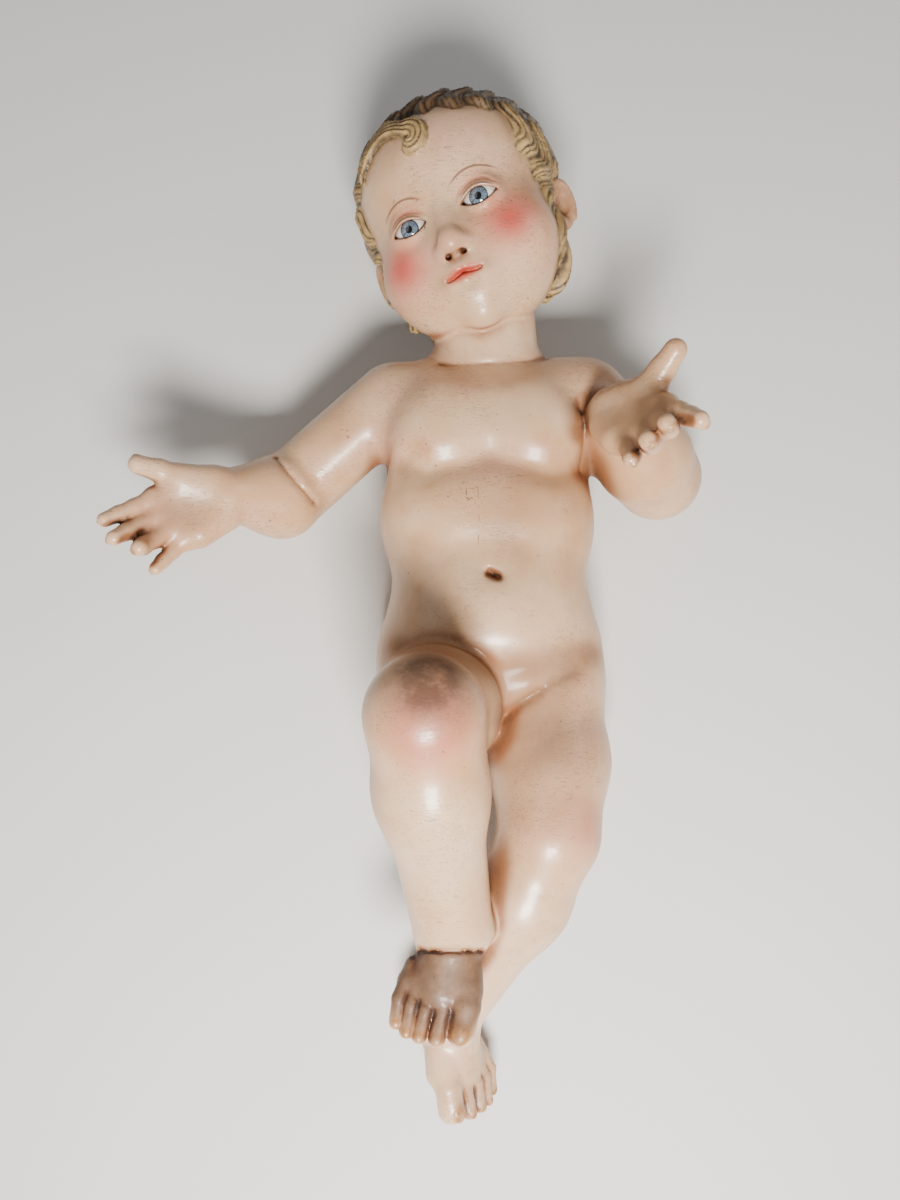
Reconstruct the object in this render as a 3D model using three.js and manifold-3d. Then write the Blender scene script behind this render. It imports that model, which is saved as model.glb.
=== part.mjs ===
// A carved and painted wooden figure of a small child, lying on its back, with arms open and legs crossed.
// Millimetres. +X is the figure's left, +Y points from its feet to its head, +Z is up, out of its chest.
// The body is described as a distance field: soft forms that blend into each other, and cuts for the folds.
// The field is turned into a closed surface, thinned to few triangles, and cut flat where it rests.
import * as THREE from "three";
import { mergeVertices } from "three/addons/utils/BufferGeometryUtils.js";
import Module from "manifold-3d";

// Driving dimensions
const EYE_RADIUS = 9.5;
const EYE_CLEARANCE = 0.35;
const HAIR_THICKNESS = 2.4;
const TRIANGLES = 8100;
const EYE_SIDES = 16;

// Colours
const SKIN = 0xe3c3a6;
const GLASS = 0x5a6670;

// Small numeric helpers
const radians = (degrees) => (degrees * Math.PI) / 180;
const clamp = (t, low, high) => Math.min(high, Math.max(low, t));
const mix = (a, b, t) => a + (b - a) * t;
const norm = (x, y, z) => Math.sqrt(x * x + y * y + z * z);
const ramp = (low, high, t) => {
  const s = clamp((t - low) / (high - low), 0, 1);
  return s * s * (3 - 2 * s);
};
const unit = ([x, y, z]) => [x, y, z].map((v) => v / norm(x, y, z));
const between = (a, b, t) => a.map((v, i) => mix(v, b[i], t));

// Fields: each is a function of x, y, z that gives the distance to a surface, and is negative inside it.
const ball = ([cx, cy, cz], r) => (x, y, z) => norm(x - cx, y - cy, z - cz) - r;

const egg = ([cx, cy, cz], [rx, ry, rz]) => (x, y, z) => {
  const u = (x - cx) / rx;
  const v = (y - cy) / ry;
  const w = (z - cz) / rz;
  const near = norm(u, v, w);
  const slope = norm(u / rx, v / ry, w / rz);
  return slope > 1e-9 ? (near * (near - 1)) / slope : -Math.min(rx, ry, rz);
};

const cushion = ([cx, cy, cz], [hx, hy, hz], r) => (x, y, z) => {
  const u = Math.abs(x - cx) - hx + r;
  const v = Math.abs(y - cy) - hy + r;
  const w = Math.abs(z - cz) - hz + r;
  return norm(Math.max(u, 0), Math.max(v, 0), Math.max(w, 0)) + Math.min(Math.max(u, v, w), 0) - r;
};

const limb = ([ax, ay, az], [bx, by, bz], ra, rb) => {
  const [dx, dy, dz] = [bx - ax, by - ay, bz - az];
  const whole = dx * dx + dy * dy + dz * dz;
  return (x, y, z) => {
    const t = clamp(((x - ax) * dx + (y - ay) * dy + (z - az) * dz) / whole, 0, 1);
    return norm(x - ax - t * dx, y - ay - t * dy, z - az - t * dz) - mix(ra, rb, t);
  };
};

const softMin = (a, b, k) => {
  const h = Math.max(k - Math.abs(a - b), 0);
  return Math.min(a, b) - (h * h) / (4 * k);
};
const blend = (k, ...fields) => (x, y, z) => {
  let d = fields[0](x, y, z);
  for (let i = 1; i < fields.length; i++) d = softMin(d, fields[i](x, y, z), k);
  return d;
};
const carve = (k, body, ...cuts) => (x, y, z) => {
  let d = -body(x, y, z);
  for (const cut of cuts) d = softMin(d, cut(x, y, z), k);
  return -d;
};

// Folds press a field inward, most on a line and less to each side of it: a crease is sharp, a dip is soft.
const crease = (width, depth, away) => (x, y, z) => depth * Math.exp(-away(x, y, z) / width);
const dip = (width, depth, away) => (x, y, z) => depth * Math.exp(-((away(x, y, z) / width) ** 2));
const pressed = (body, ...folds) => (x, y, z) => {
  let d = body(x, y, z);
  for (const each of folds) d += each(x, y, z);
  return d;
};
// How far a point is from a line drawn on the XY plane, on the front of the figure or on its back.
const drawn = (points, front, level) => (x, y, z) => {
  let least = Infinity;
  for (let i = 1; i < points.length; i++) {
    const [[ax, ay], [bx, by]] = [points[i - 1], points[i]];
    const [dx, dy] = [bx - ax, by - ay];
    const t = clamp(((x - ax) * dx + (y - ay) * dy) / (dx * dx + dy * dy), 0, 1);
    least = Math.min(least, Math.hypot(x - ax - t * dx, y - ay - t * dy));
  }
  return least + (front ? Math.max(level - z, 0) : Math.max(z - level, 0));
};
// How far a point is from a plane across a limb, out to a reach from the limb's middle.
const across = ([cx, cy, cz], axis, reach) => {
  const [a, b, c] = unit(axis);
  return (x, y, z) => {
    const along = (x - cx) * a + (y - cy) * b + (z - cz) * c;
    return Math.abs(along) + Math.max(norm(x - cx, y - cy, z - cz) - reach, 0);
  };
};

// A chain of limbs through points, with a radius at each.
const chain = (k, points, radii) =>
  blend(k, ...points.slice(1).map((p, i) => limb(points[i], p, radii[i], radii[i + 1])));

// A field that is worked out only near its own place, and is the distance to a ball round it elsewhere.
const NEAR = 14;
const near = ([cx, cy, cz], r, field) => (x, y, z) => {
  const away = norm(x - cx, y - cy, z - cz) - r;
  return away > NEAR ? away : field(x, y, z);
};

const mirrored = (field) => (x, y, z) => field(Math.abs(x), y, z);
const sized = (size, field) => (x, y, z) => size * field(x / size, y / size, z / size);

// A frame has an origin and three unit directions; inFrame reads a field in that frame's own coordinates.
const dot = (a, b) => a[0] * b[0] + a[1] * b[1] + a[2] * b[2];
const cross = (a, b) => [a[1] * b[2] - a[2] * b[1], a[2] * b[0] - a[0] * b[2], a[0] * b[1] - a[1] * b[0]];
const limbFrame = (origin, along, facing, side) => {
  const f = unit(along);
  const p = unit(facing.map((v, i) => v - dot(facing, f) * f[i]));
  const t = cross(f, p).map((v) => v * side);
  return { origin, axes: [f, t, p] };
};
const toWorld = ({ origin, axes }, [u, v, w]) =>
  origin.map((o, i) => o + u * axes[0][i] + v * axes[1][i] + w * axes[2][i]);
const inFrame = ({ origin: [ox, oy, oz], axes: [a, b, c] }, field) => (x, y, z) => {
  const [dx, dy, dz] = [x - ox, y - oy, z - oz];
  return field(
    dx * a[0] + dy * a[1] + dz * a[2],
    dx * b[0] + dy * b[1] + dz * b[2],
    dx * c[0] + dy * c[1] + dz * c[2],
  );
};

// The places of the joints, as [x, y, z]
const NECK_LOW = [45, 108, 40];
const NECK_TOP = [43, 146, 47];
const HEAD = [32, 188, 56.2];
const HEAD_PITCH = radians(13);
const HEAD_YAW = radians(-20);
const HEAD_ROLL = radians(17);
const RIGHT_ARM = {
  shoulder: [-3, 99, 43], elbow: [-51, 59.5, 31], bulk: [-59, 51, 39.5], wrist: [-80, 47, 60],
};
const LEFT_ARM = {
  shoulder: [94, 98, 44], elbow: [132, 63, 31], bulk: [123, 68.7, 44.5], wrist: [102.8, 82, 76],
};
// A leg's points are its hip, mid thigh, knee, calf and ankle, with a radius at each.
const RIGHT_LEG = {
  points: [[23, -50, 36], [20, -54, 72], [15.5, -56, 114], [18, -88, 99], [27, -150, 67]],
  radii: [29, 25.5, 23, 21.5, 18],
};
const LEFT_LEG = {
  points: [[70, -48, 38], [73.5, -80, 44], [72, -112, 55], [59.5, -143, 47], [26.5, -199, 27]],
  radii: [29.5, 26, 21.8, 20, 16],
};

// The folds of the trunk, as [x, y] seen from the front or the back
const BREAST_FOLD = [[8, 62], [16, 57], [32, 60], [45, 64], [58, 60], [73, 56], [84, 60]];
const WAIST_FOLD = [[12, 24], [30, 20], [62, 20], [80, 24]];
const BELLY_FOLD = [[4, -26], [28, -33], [49, -36], [68, -34], [92, -28]];
const NAVEL = [[44, 7.6], [48, 6]];
const GROIN_FOLD = [[48, -60], [58, -52], [67, -46.5], [84, -38]];
const LEFT_ARMPIT = [[87, 92], [89.5, 78], [89, 60]];
const RIGHT_ARMPIT = [[-2, 72], [-6.5, 58]];
const SEAT_CLEFT = [[46, -30], [46, -84]];
const SPINE = [[45, 92], [46, -10]];
const THIGH_FOLD = [[58, -80], [66, -70], [78, -62], [88, -58]];
// The folds that go round a limb, as planes: a point and a direction across them
const NECK_FOLD_AXIS = [-0.05, 0.93, 0.36];
const ELBOW_FOLD = [-50, 56.5, 53];
const ELBOW_FOLD_AXIS = [0.75, 0.66, 0.025];
const ANKLE_FOLD = [26, -157, 84];
const ANKLE_FOLD_AXIS = [0, 0.97, -0.24];

// The trunk
function trunk() {
  const mass = blend(
    30,
    cushion([43.5, 68, 38], [49, 52, 34], 32),
    cushion([45.5, 4, 39], [45.5, 52, 34], 32),
    cushion([46, -38, 33], [53.5, 32, 31], 30),
  );
  const breast = (x) => egg([x, 77, 59], [24, 22, 18]);
  const ribs = egg([44.5, 42, 50], [40, 26, 22.5]);
  const belly = egg([46, -8, 48], [41, 36, 33]);
  const seat = (x) => ball([x, -52, 28], 27);
  const slope = (side) =>
    limb([45 + side * 15, 106, 42], [45 + side * 42, 96.5 + side * 1.5, 42], 16.5, 17.5);
  const swellings = [breast(22), breast(67), ribs, belly, seat(22), seat(70), slope(-1), slope(1)];
  const full = blend(12, mass, ...swellings);
  return pressed(
    full,
    dip(7, 2.8, drawn(BREAST_FOLD, true, 45)),
    dip(9, 1.2, drawn(WAIST_FOLD, true, 50)),
    dip(8, 2, drawn(BELLY_FOLD, true, 30)),
    dip(9, 2, drawn(NAVEL, true, 50)),
    dip(1.9, 5, drawn(NAVEL, true, 50)),
    crease(2, 5, drawn(SEAT_CLEFT, false, 24)),
    dip(7, 2.4, drawn(SPINE, false, 20)),
  );
}

// An arm, from the shoulder to the wrist
function arm({ shoulder, elbow, bulk, wrist }, thick) {
  const upper = limb(shoulder, elbow, thick, thick + 1);
  const fore = chain(8, [elbow, bulk, wrist], [thick - 1, thick + 1, 13]);
  return blend(2.5, upper, fore);
}

// A hand, in a frame whose first direction runs along it, the second to the thumb, the third from the palm
const PALM = 31;
const FINGERS = [
  { side: 11.4, back: 0, length: 26, radius: 4 },
  { side: 4, back: -1, length: 28, radius: 4 },
  { side: -3.6, back: 0.5, length: 26.5, radius: 4.2 },
  { side: -10.6, back: 4, length: 21.5, radius: 3.6 },
];
function finger({ side, back, length, radius }, stout, splay, curls) {
  const shares = [0.42, 0.31, 0.27];
  let place = [PALM - back, side, 0];
  let bend = 0;
  const points = [place];
  shares.forEach((share, i) => {
    bend += radians(curls[i]);
    const reach = share * length;
    place = [
      place[0] + reach * Math.cos(bend) * Math.cos(radians(splay)),
      place[1] + reach * Math.cos(bend) * Math.sin(radians(splay)),
      place[2] + reach * Math.sin(bend),
    ];
    points.push(place);
  });
  const thick = radius * stout;
  return chain(1.5, points, [thick + 0.6, thick, thick - 0.2, thick - 0.6]);
}
function hand(frame, poses, thumb, stout) {
  const metacarpals = FINGERS.map(({ side, back }) =>
    limb([2, side * 0.45, 0], [PALM - back, side, -0.5], 8, 6),
  );
  const thenar = limb([6, 8, 3], [18, 15, 4], 8.5, 7);
  const hypothenar = limb([6, -8, 2], [20, -12, 2.5], 7.5, 6);
  const palm = blend(6, ...metacarpals, thenar, hypothenar);
  const [thumbIn, thumbOut] = thumb;
  const thumbRoot = [17, 14, 4];
  const step = (from, [a, b], reach) => [
    from[0] + reach * Math.cos(radians(a)) * Math.cos(radians(b)),
    from[1] + reach * Math.sin(radians(a)) * Math.cos(radians(b)),
    from[2] + reach * Math.sin(radians(b)),
  ];
  const knuckle = step(thumbRoot, thumbIn, 11);
  const tip = step(knuckle, thumbOut, 10);
  const digits = FINGERS.map((f, i) => finger(f, stout, ...poses[i]));
  const thick = [6.5, 5.2, 4.5].map((radius) => radius * stout);
  const whole = blend(2.6, palm, chain(2, [thumbRoot, knuckle, tip], thick), ...digits);
  return near(toWorld(frame, [30, 2, 6]), 48, inFrame(frame, whole));
}

// A leg, from the hip to the ankle
function leg({ points, radii }) {
  const upper = chain(16, points.slice(0, 3), radii.slice(0, 3));
  const lower = chain(16, points.slice(2), radii.slice(2));
  return blend(10, upper, lower);
}

// A foot, in a frame whose first direction runs to the toes, the second to the big toe, the third up
const TOES = [
  { side: 9.5, tipSide: 6.5, start: 32, tip: 41, radius: 6.4 },
  { side: -0.2, tipSide: -3.6, start: 34.5, tip: 44.5, radius: 3.8 },
  { side: -8, tipSide: -11.2, start: 34.5, tip: 44, radius: 3.4 },
  { side: -14.8, tipSide: -16.8, start: 33, tip: 42.5, radius: 3.3 },
  { side: -20.8, tipSide: -21.6, start: 30.5, tip: 39, radius: 3.3 },
];
function toe({ side, tipSide, start, tip, radius }) {
  const root = [start - 14, side * 0.75, -9];
  const middle = [start, mix(side, tipSide, 0.4), -9.5];
  const end = [tip, tipSide, -14];
  return blend(1, limb(root, middle, radius + 1.2, radius), limb(middle, end, radius - 0.2, radius));
}
function foot(frame) {
  const heel = ball([-9, 0, -11], 12.5);
  const instep = limb([0, 0.5, -3], [26, -3, -10], 19, 8.5);
  const ballOfFoot = limb([25, 7.5, -11.5], [23, -16.5, -11.5], 7.8, 6.6);
  const sole = limb([-4, -1, -13], [22, -4, -13], 10, 8);
  const [bigToe, ...toes] = TOES.map(toe);
  const base = blend(2.2, blend(9, heel, instep, ballOfFoot, sole), bigToe);
  return near(toWorld(frame, [20, 0, -6]), 48, inFrame(frame, blend(0.9, base, ...toes)));
}

// The head, in a frame centred in it: x to the figure's left, y to the crown, z out of the face
const EYE = [17.5, -5, 33.5];
function face() {
  const skull = egg([0, 11, -7], [49, 45.5, 50]);
  const brow = egg([0, 18, 10], [37, 28, 35]);
  const lower = egg([0, -17, 9], [40, 40, 38]);
  const cheek = mirrored(ball([21, -25, 20], 22.5));
  const jowl = mirrored(ball([13.5, -37, 15], 19.5));
  const muzzle = egg([0, -33, 34], [17, 13, 13]);
  const chin = ball([0, -49, 33], 8.5);
  const form = blend(10, skull, brow, lower, cheek, jowl, blend(6, muzzle, chin));
  const socket = mirrored(egg([17, -3.5, 52], [12.5, 8, 7]));
  const lids = mirrored(ball(EYE, EYE_RADIUS + 2.2));
  const bridge = limb([0, -3, 41.2], [0, -17, 48.2], 4.2, 4.6);
  const nose = blend(4, bridge, ball([0, -19.5, 50], 5.4));
  const wings = mirrored(ball([5.6, -21.6, 46], 3.9));
  const upperLip = mirrored(limb([1.8, -30.8, 47.2], [10, -33.2, 42.6], 2.6, 1.3));
  const lowerLip = mirrored(limb([0, -36.6, 46.6], [8.5, -34.8, 43], 3, 1.4));
  const sockets = blend(2, carve(9, form, socket), lids);
  const features = blend(3, sockets, blend(4, nose, wings), upperLip, lowerLip);
  const nostril = mirrored(limb([2.7, -25.2, 50.2], [4.7, -24.4, 46], 1.1, 1.4));
  const philtrum = limb([0, -25.5, 51.5], [0, -29, 51.5], 1, 1.6);
  const corner = mirrored(ball([10.6, -33.6, 43], 0));
  return pressed(carve(1.2, features, nostril, philtrum), dip(0.85, 1.7, mouthLine), dip(2, 0.7, corner));
}
function mouthLine(x, y, z) {
  // Where the lips meet: a gentle bow that fades out before the corners
  const bow = -33.9 + 0.45 * Math.cos(x * 0.5);
  return Math.abs(y - bow) + Math.max(Math.abs(x) - 8.2, 0) * 0.7 + Math.max(38 - z, 0);
}
function eyeOpening() {
  // An almond: the space below one arch and above another, in front of the eye
  const [ex, ey, ez] = EYE;
  return mirrored((x, y, z) => {
    const u = x - ex;
    const upper = y - (ey + 3.9 - u * u * 0.051);
    const lower = ey - 3.3 + u * u * 0.041 - y;
    return Math.max(upper * 0.8, lower * 0.8, ez - z + 2, norm(u, y - ey, z - ez) - EYE_RADIUS - 6);
  });
}
function lidFold() {
  // The fold above the upper lid: an arch just over the eye's opening
  const [ex, ey, ez] = EYE;
  return dip(1.2, 0.7, (x, y, z) => {
    const u = Math.abs(x) - ex;
    const arch = Math.abs(y - (ey + 7.4 - u * u * 0.05));
    return arch + Math.max(Math.abs(u) - 7, 0) * 0.5 + Math.max(ez - z, 0);
  });
}
function ear() {
  const shell = egg([0, 0, 0], [3.6, 14, 9]);
  const bowl = egg([4.2, 0.8, 0.6], [4.4, 10.2, 5.8]);
  const lobe = egg([0.6, -11.2, 1.6], [2.6, 4, 3.8]);
  const tragus = ball([0.4, -2.8, 6.6], 2.2);
  const conch = ball([2.2, -2.8, 1.4], 4.2);
  // A rounded ridge on the shell's edge, from above the lobe, over the top, to the front
  const rim = (x, y, z) => {
    const ring = (norm(y / 12.6, z / 7.8, 0) - 1) * 9;
    return norm(ring, x - 2.2, 0) - 1.5 + Math.max(z * 0.9 - y - 3, 0) * 0.4;
  };
  return carve(0.8, blend(1, carve(1, blend(2, shell, lobe), bowl), tragus, rim), conch);
}
const EAR_SIZE = 0.84;
const EAR = limbFrame([47.4, -14, -2], [0.8, 0.02, 0.6], [-0.6, 0.16, 0.78], -1);

// Hair: how far back it starts, in degrees from the front, all round the head from the crown (0)
const HAIR_CENTRE = [0, 11, -7];
const HAIRLINE = [
  [-180, 122], [-165, 95], [-155, 78], [-145, 74], [-132, 70], [-118, 64], [-108, 60], [-99, 58],
  [-90, 58], [-75, 58], [-66, 56], [-54, 46], [-40, 44], [-20, 42], [0, 40], [29, 40], [45, 45],
  [60, 56], [66, 57], [82, 53], [91, 55], [107, 63], [120, 66], [134, 70], [145, 74], [155, 78],
  [165, 95], [180, 122],
];
const NAPE_LOCKS = { turn: 144, across: 13, lean: 88, along: 16, leftBulk: 5, rightBulk: 2 };
const WHORL = unit([0.12, 0.72, -0.68]);
const WHORL_SIDE = unit(cross(WHORL, [0, 0, 1]));
const WHORL_FRONT = cross(WHORL_SIDE, WHORL);
const LOCKS = 22;
const FORELOCK = {
  side: -4, rise: radians(21), wide: 31, high: 9, inner: 2.2, outer: 11.5, turn: radians(235),
};
function hairlineAt(degrees) {
  const next = HAIRLINE.findIndex(([turn]) => turn > degrees);
  const [[a, from], [b, to]] = [HAIRLINE[next - 1], HAIRLINE[next]];
  return mix(from, to, (degrees - a) / (b - a));
}
function locksAt(x, y, z) {
  // Locks run in waves from the whorl at the back of the crown down to the hairline.
  const [dx, dy, dz] = [x, y, z].map((v, i) => v - HAIR_CENTRE[i]);
  const far = norm(dx, dy, dz) + 1e-3;
  const fromFront = Math.acos(clamp(dz / far, -1, 1)) / radians(1);
  const around = clamp(Math.atan2(dx, dy) / radians(1), -179.9, 179.9);
  const behind = fromFront - hairlineAt(around);
  const [out, side, front] = [WHORL, WHORL_SIDE, WHORL_FRONT].map((a) => dot([dx, dy, dz], a) / far);
  const down = Math.acos(clamp(out, -1, 1));
  const turn = Math.atan2(side, front);
  const wave = 1.3 * Math.sin(13 * down + 1.5 * Math.sin(2 * turn)) + 2 * Math.sin(4 * down + 3 * turn);
  const lock = Math.sin(LOCKS * turn + wave);
  const cover = ramp(-2, 5, behind + 2.2 * lock);
  const { turn: place, across: wide, lean, along, leftBulk, rightBulk } = NAPE_LOCKS;
  const beside = (Math.abs(around) - place) / wide;
  const level = (fromFront - lean) / along;
  const nearness = Math.exp(-beside * beside - level * level);
  const bulk = (dx > 0 ? leftBulk : rightBulk) * nearness;
  return cover * (HAIR_THICKNESS + bulk + 0.8 * lock * ramp(0.15, 0.6, down));
}
function forelock(x, y, z) {
  // The curl over the forehead: a band that sweeps in from the side and turns round its own end.
  const lift = Math.atan2(y - HAIR_CENTRE[1], z - HAIR_CENTRE[2]) - FORELOCK.rise;
  const s = x - FORELOCK.side;
  const t = lift * 50;
  const turn = Math.atan2(s, t);
  const share = clamp((turn < 0 ? turn + 2 * Math.PI : turn) / FORELOCK.turn, 0, 1.2);
  const curl = norm(s, t, 0) + 7.5 * share ** 1.6;
  const swept = t - FORELOCK.high * Math.sin((Math.PI * clamp(-s, 0, FORELOCK.wide)) / FORELOCK.wide);
  const hooked = s >= 0 || (t < 2 && share < 1.1);
  const level = hooked ? curl : -s < FORELOCK.wide ? swept : 99;
  const outer = FORELOCK.outer + (t > 0 ? 5 * ramp(0, 12, -s) : 0);
  const band = ramp(FORELOCK.inner - 1, FORELOCK.inner + 1, level) * ramp(outer + 1, outer - 1.5, level);
  return band * (hooked ? ramp(1.08, 0.9, share) : 1) * ramp(0, 6, z);
}
const hairThickness = (x, y, z) =>
  Math.max(locksAt(x, y, z), forelock(x, y, z) * (HAIR_THICKNESS + 0.6));
function head() {
  const bare = face();
  const ears = mirrored(inFrame(EAR, sized(EAR_SIZE, ear())));
  // The hair leaves the ears bare.
  const withHair = (x, y, z) => bare(x, y, z) - hairThickness(x, y, z) * ramp(-1, 3, ears(x, y, z));
  return carve(0.8, pressed(blend(2, withHair, ears), lidFold()), eyeOpening());
}
const HEAD_FRAME = (() => {
  const angles = new THREE.Euler(HEAD_PITCH, HEAD_YAW, HEAD_ROLL, "ZYX");
  const turn = new THREE.Matrix4().makeRotationFromEuler(angles);
  const axes = [0, 1, 2].map((i) => new THREE.Vector3().setFromMatrixColumn(turn, i).toArray());
  return { origin: HEAD, axes };
})();

// The whole figure
const RIGHT_HAND = limbFrame(RIGHT_ARM.wrist, [-0.82, -0.46, 0.34], [0.25, -0.1, 0.95], 1);
const RIGHT_FINGERS = [[-2, [5, 5, 5]], [-7, [12, 14, 10]], [-12, [16, 24, 28]], [-22, [5, 10, 10]]];
const RIGHT_THUMB = [[45, 0], [40, -8]];
const LEFT_HAND = limbFrame(LEFT_ARM.wrist, [0.3, -0.45, 0.84], [-0.698, 0.495, 0.514], -1);
const LEFT_FINGERS = [[0, [-5, 0, 5]], [-8, [5, 15, 25]], [-12, [5, 15, 25]], [-20, [5, 10, 10]]];
const LEFT_THUMB = [[70, 18], [66, 20]];
const LEFT_STOUT = 1.14;
const RIGHT_FOOT = limbFrame(RIGHT_LEG.points[4], [-0.07, -0.81, 0.58], [0, 0.6, 0.8], -1);
const LEFT_FOOT = limbFrame(LEFT_LEG.points[4], [0.33, -0.87, 0.36], [0.66, 0.4, 0.64], 1);

function figure() {
  const neck = limb(NECK_LOW, NECK_TOP, 27, 25);
  const arms = [
    near([-40, 72, 44], 62, arm(RIGHT_ARM, 18.5)),
    near([112, 84, 48], 58, arm(LEFT_ARM, 21)),
  ];
  const legs = [
    near([20, -95, 80], 92, leg(RIGHT_LEG)),
    near([56, -128, 44], 110, leg(LEFT_LEG)),
  ];
  const shoulders = blend(8, blend(12, blend(7, trunk(), neck), arms[1]), arms[0]);
  const torso = pressed(
    blend(9, shoulders, legs[1]),
    dip(5, 1.2, drawn(GROIN_FOLD, true, 30)),
    dip(2.4, 1.6, drawn(GROIN_FOLD.slice(0, 3), true, 30)),
    dip(9, 1.3, drawn(THIGH_FOLD, true, 30)),
    crease(1.6, 2.6, across(ELBOW_FOLD, ELBOW_FOLD_AXIS, 15)),
    crease(2.4, 0.9, drawn(LEFT_ARMPIT, true, 40)),
    crease(2.4, 1, drawn(RIGHT_ARMPIT, true, 40)),
    crease(2.4, 2, across(between(NECK_LOW, NECK_TOP, 0.3), NECK_FOLD_AXIS, 31)),
  );
  const hands = [
    hand(RIGHT_HAND, RIGHT_FINGERS, RIGHT_THUMB, 1),
    hand(LEFT_HAND, LEFT_FINGERS, LEFT_THUMB, LEFT_STOUT),
  ];
  const feet = [foot(RIGHT_FOOT), foot(LEFT_FOOT)];
  const headField = near(HEAD, 70, inFrame(HEAD_FRAME, head()));
  return pressed(
    blend(2.2, blend(4, torso, legs[0]), ...hands, ...feet, headField),
    crease(1.4, 3, across(ANKLE_FOLD, ANKLE_FOLD_AXIS, 19)),
  );
}

// A closed surface where a field is zero, from a grid of boxes that are each cut into six tetrahedra.
// Grid lines are close together over the head, hands and feet, and further apart over the rest.
function gridLines(low, high, stepAt) {
  const lines = [low];
  for (let at = low; at < high; lines.push(at)) at += stepAt(at);
  return lines;
}
function surfaceOf(field, xs, ys, zs) {
  const [nx, ny, nz] = [xs.length, ys.length, zs.length];
  const values = new Float32Array(nx * ny * nz).fill(NaN);
  const at = (i) => {
    if (Number.isNaN(values[i])) {
      const z = i % nz;
      const y = ((i - z) / nz) % ny;
      const x = Math.floor(i / (nz * ny));
      values[i] = field(xs[x], ys[y], zs[z]) || 1e-6;
    }
    return values[i];
  };
  const placeOf = (i) => {
    const z = i % nz;
    return [xs[Math.floor(i / (nz * ny))], ys[((i - z) / nz) % ny], zs[z]];
  };
  const points = [];
  const triangles = [];
  const made = new Map();
  const crossing = (a, b) => {
    const key = a < b ? a * values.length + b : b * values.length + a;
    if (!made.has(key)) {
      const t = clamp(at(a) / (at(a) - at(b)), 0.02, 0.98);
      made.set(key, points.length);
      points.push(between(placeOf(a), placeOf(b), t));
    }
    return made.get(key);
  };
  // The six tetrahedra of a box: each walks from its low corner to its high one, in one of the six orders.
  const steps = [ny * nz, nz, 1];
  const orders = [[0, 1, 2], [1, 2, 0], [2, 0, 1], [0, 2, 1], [2, 1, 0], [1, 0, 2]];
  const cutBox = (corner) => {
    orders.forEach(([p, q, r], n) => {
      const second = corner + steps[p];
      const third = second + steps[q];
      const v = [corner, second, third, third + steps[r]];
      if (n > 2) [v[1], v[2]] = [v[2], v[1]];
      const inside = v.map((i) => at(i) < 0);
      const count = inside.filter(Boolean).length;
      if (count === 0 || count === 4) return;
      // Even swaps keep the tetrahedron's handedness while the corners inside come first.
      const order = [[0, 1, 2, 3], [0, 2, 3, 1], [0, 3, 1, 2], [1, 0, 3, 2], [1, 2, 0, 3], [1, 3, 2, 0],
        [2, 0, 1, 3], [2, 1, 3, 0], [2, 3, 0, 1], [3, 0, 2, 1], [3, 1, 0, 2], [3, 2, 1, 0]]
        .find((o) => o.every((k, i) => inside[k] === i < count));
      const [a, b, c, d] = order.map((k) => v[k]);
      if (count === 1) triangles.push([crossing(a, b), crossing(a, c), crossing(a, d)]);
      if (count === 3) triangles.push([crossing(a, d), crossing(b, d), crossing(c, d)]);
      if (count === 2) {
        const loop = [crossing(a, c), crossing(a, d), crossing(b, d), crossing(b, c)];
        triangles.push([loop[0], loop[1], loop[2]], [loop[0], loop[2], loop[3]]);
      }
    });
  };
  const block = 4;
  for (let bx = 0; bx < nx - 1; bx += block)
    for (let by = 0; by < ny - 1; by += block)
      for (let bz = 0; bz < nz - 1; bz += block) {
        const ex = Math.min(bx + block, nx - 1);
        const ey = Math.min(by + block, ny - 1);
        const ez = Math.min(bz + block, nz - 1);
        const half = [(xs[ex] - xs[bx]) / 2, (ys[ey] - ys[by]) / 2, (zs[ez] - zs[bz]) / 2];
        const middle = field(xs[bx] + half[0], ys[by] + half[1], zs[bz] + half[2]);
        if (Math.abs(middle) > 1.6 * norm(...half)) continue;
        for (let x = bx; x < ex; x++)
          for (let y = by; y < ey; y++)
            for (let z = bz; z < ez; z++) cutBox((x * ny + y) * nz + z);
      }
  return { points, triangles };
}

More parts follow.
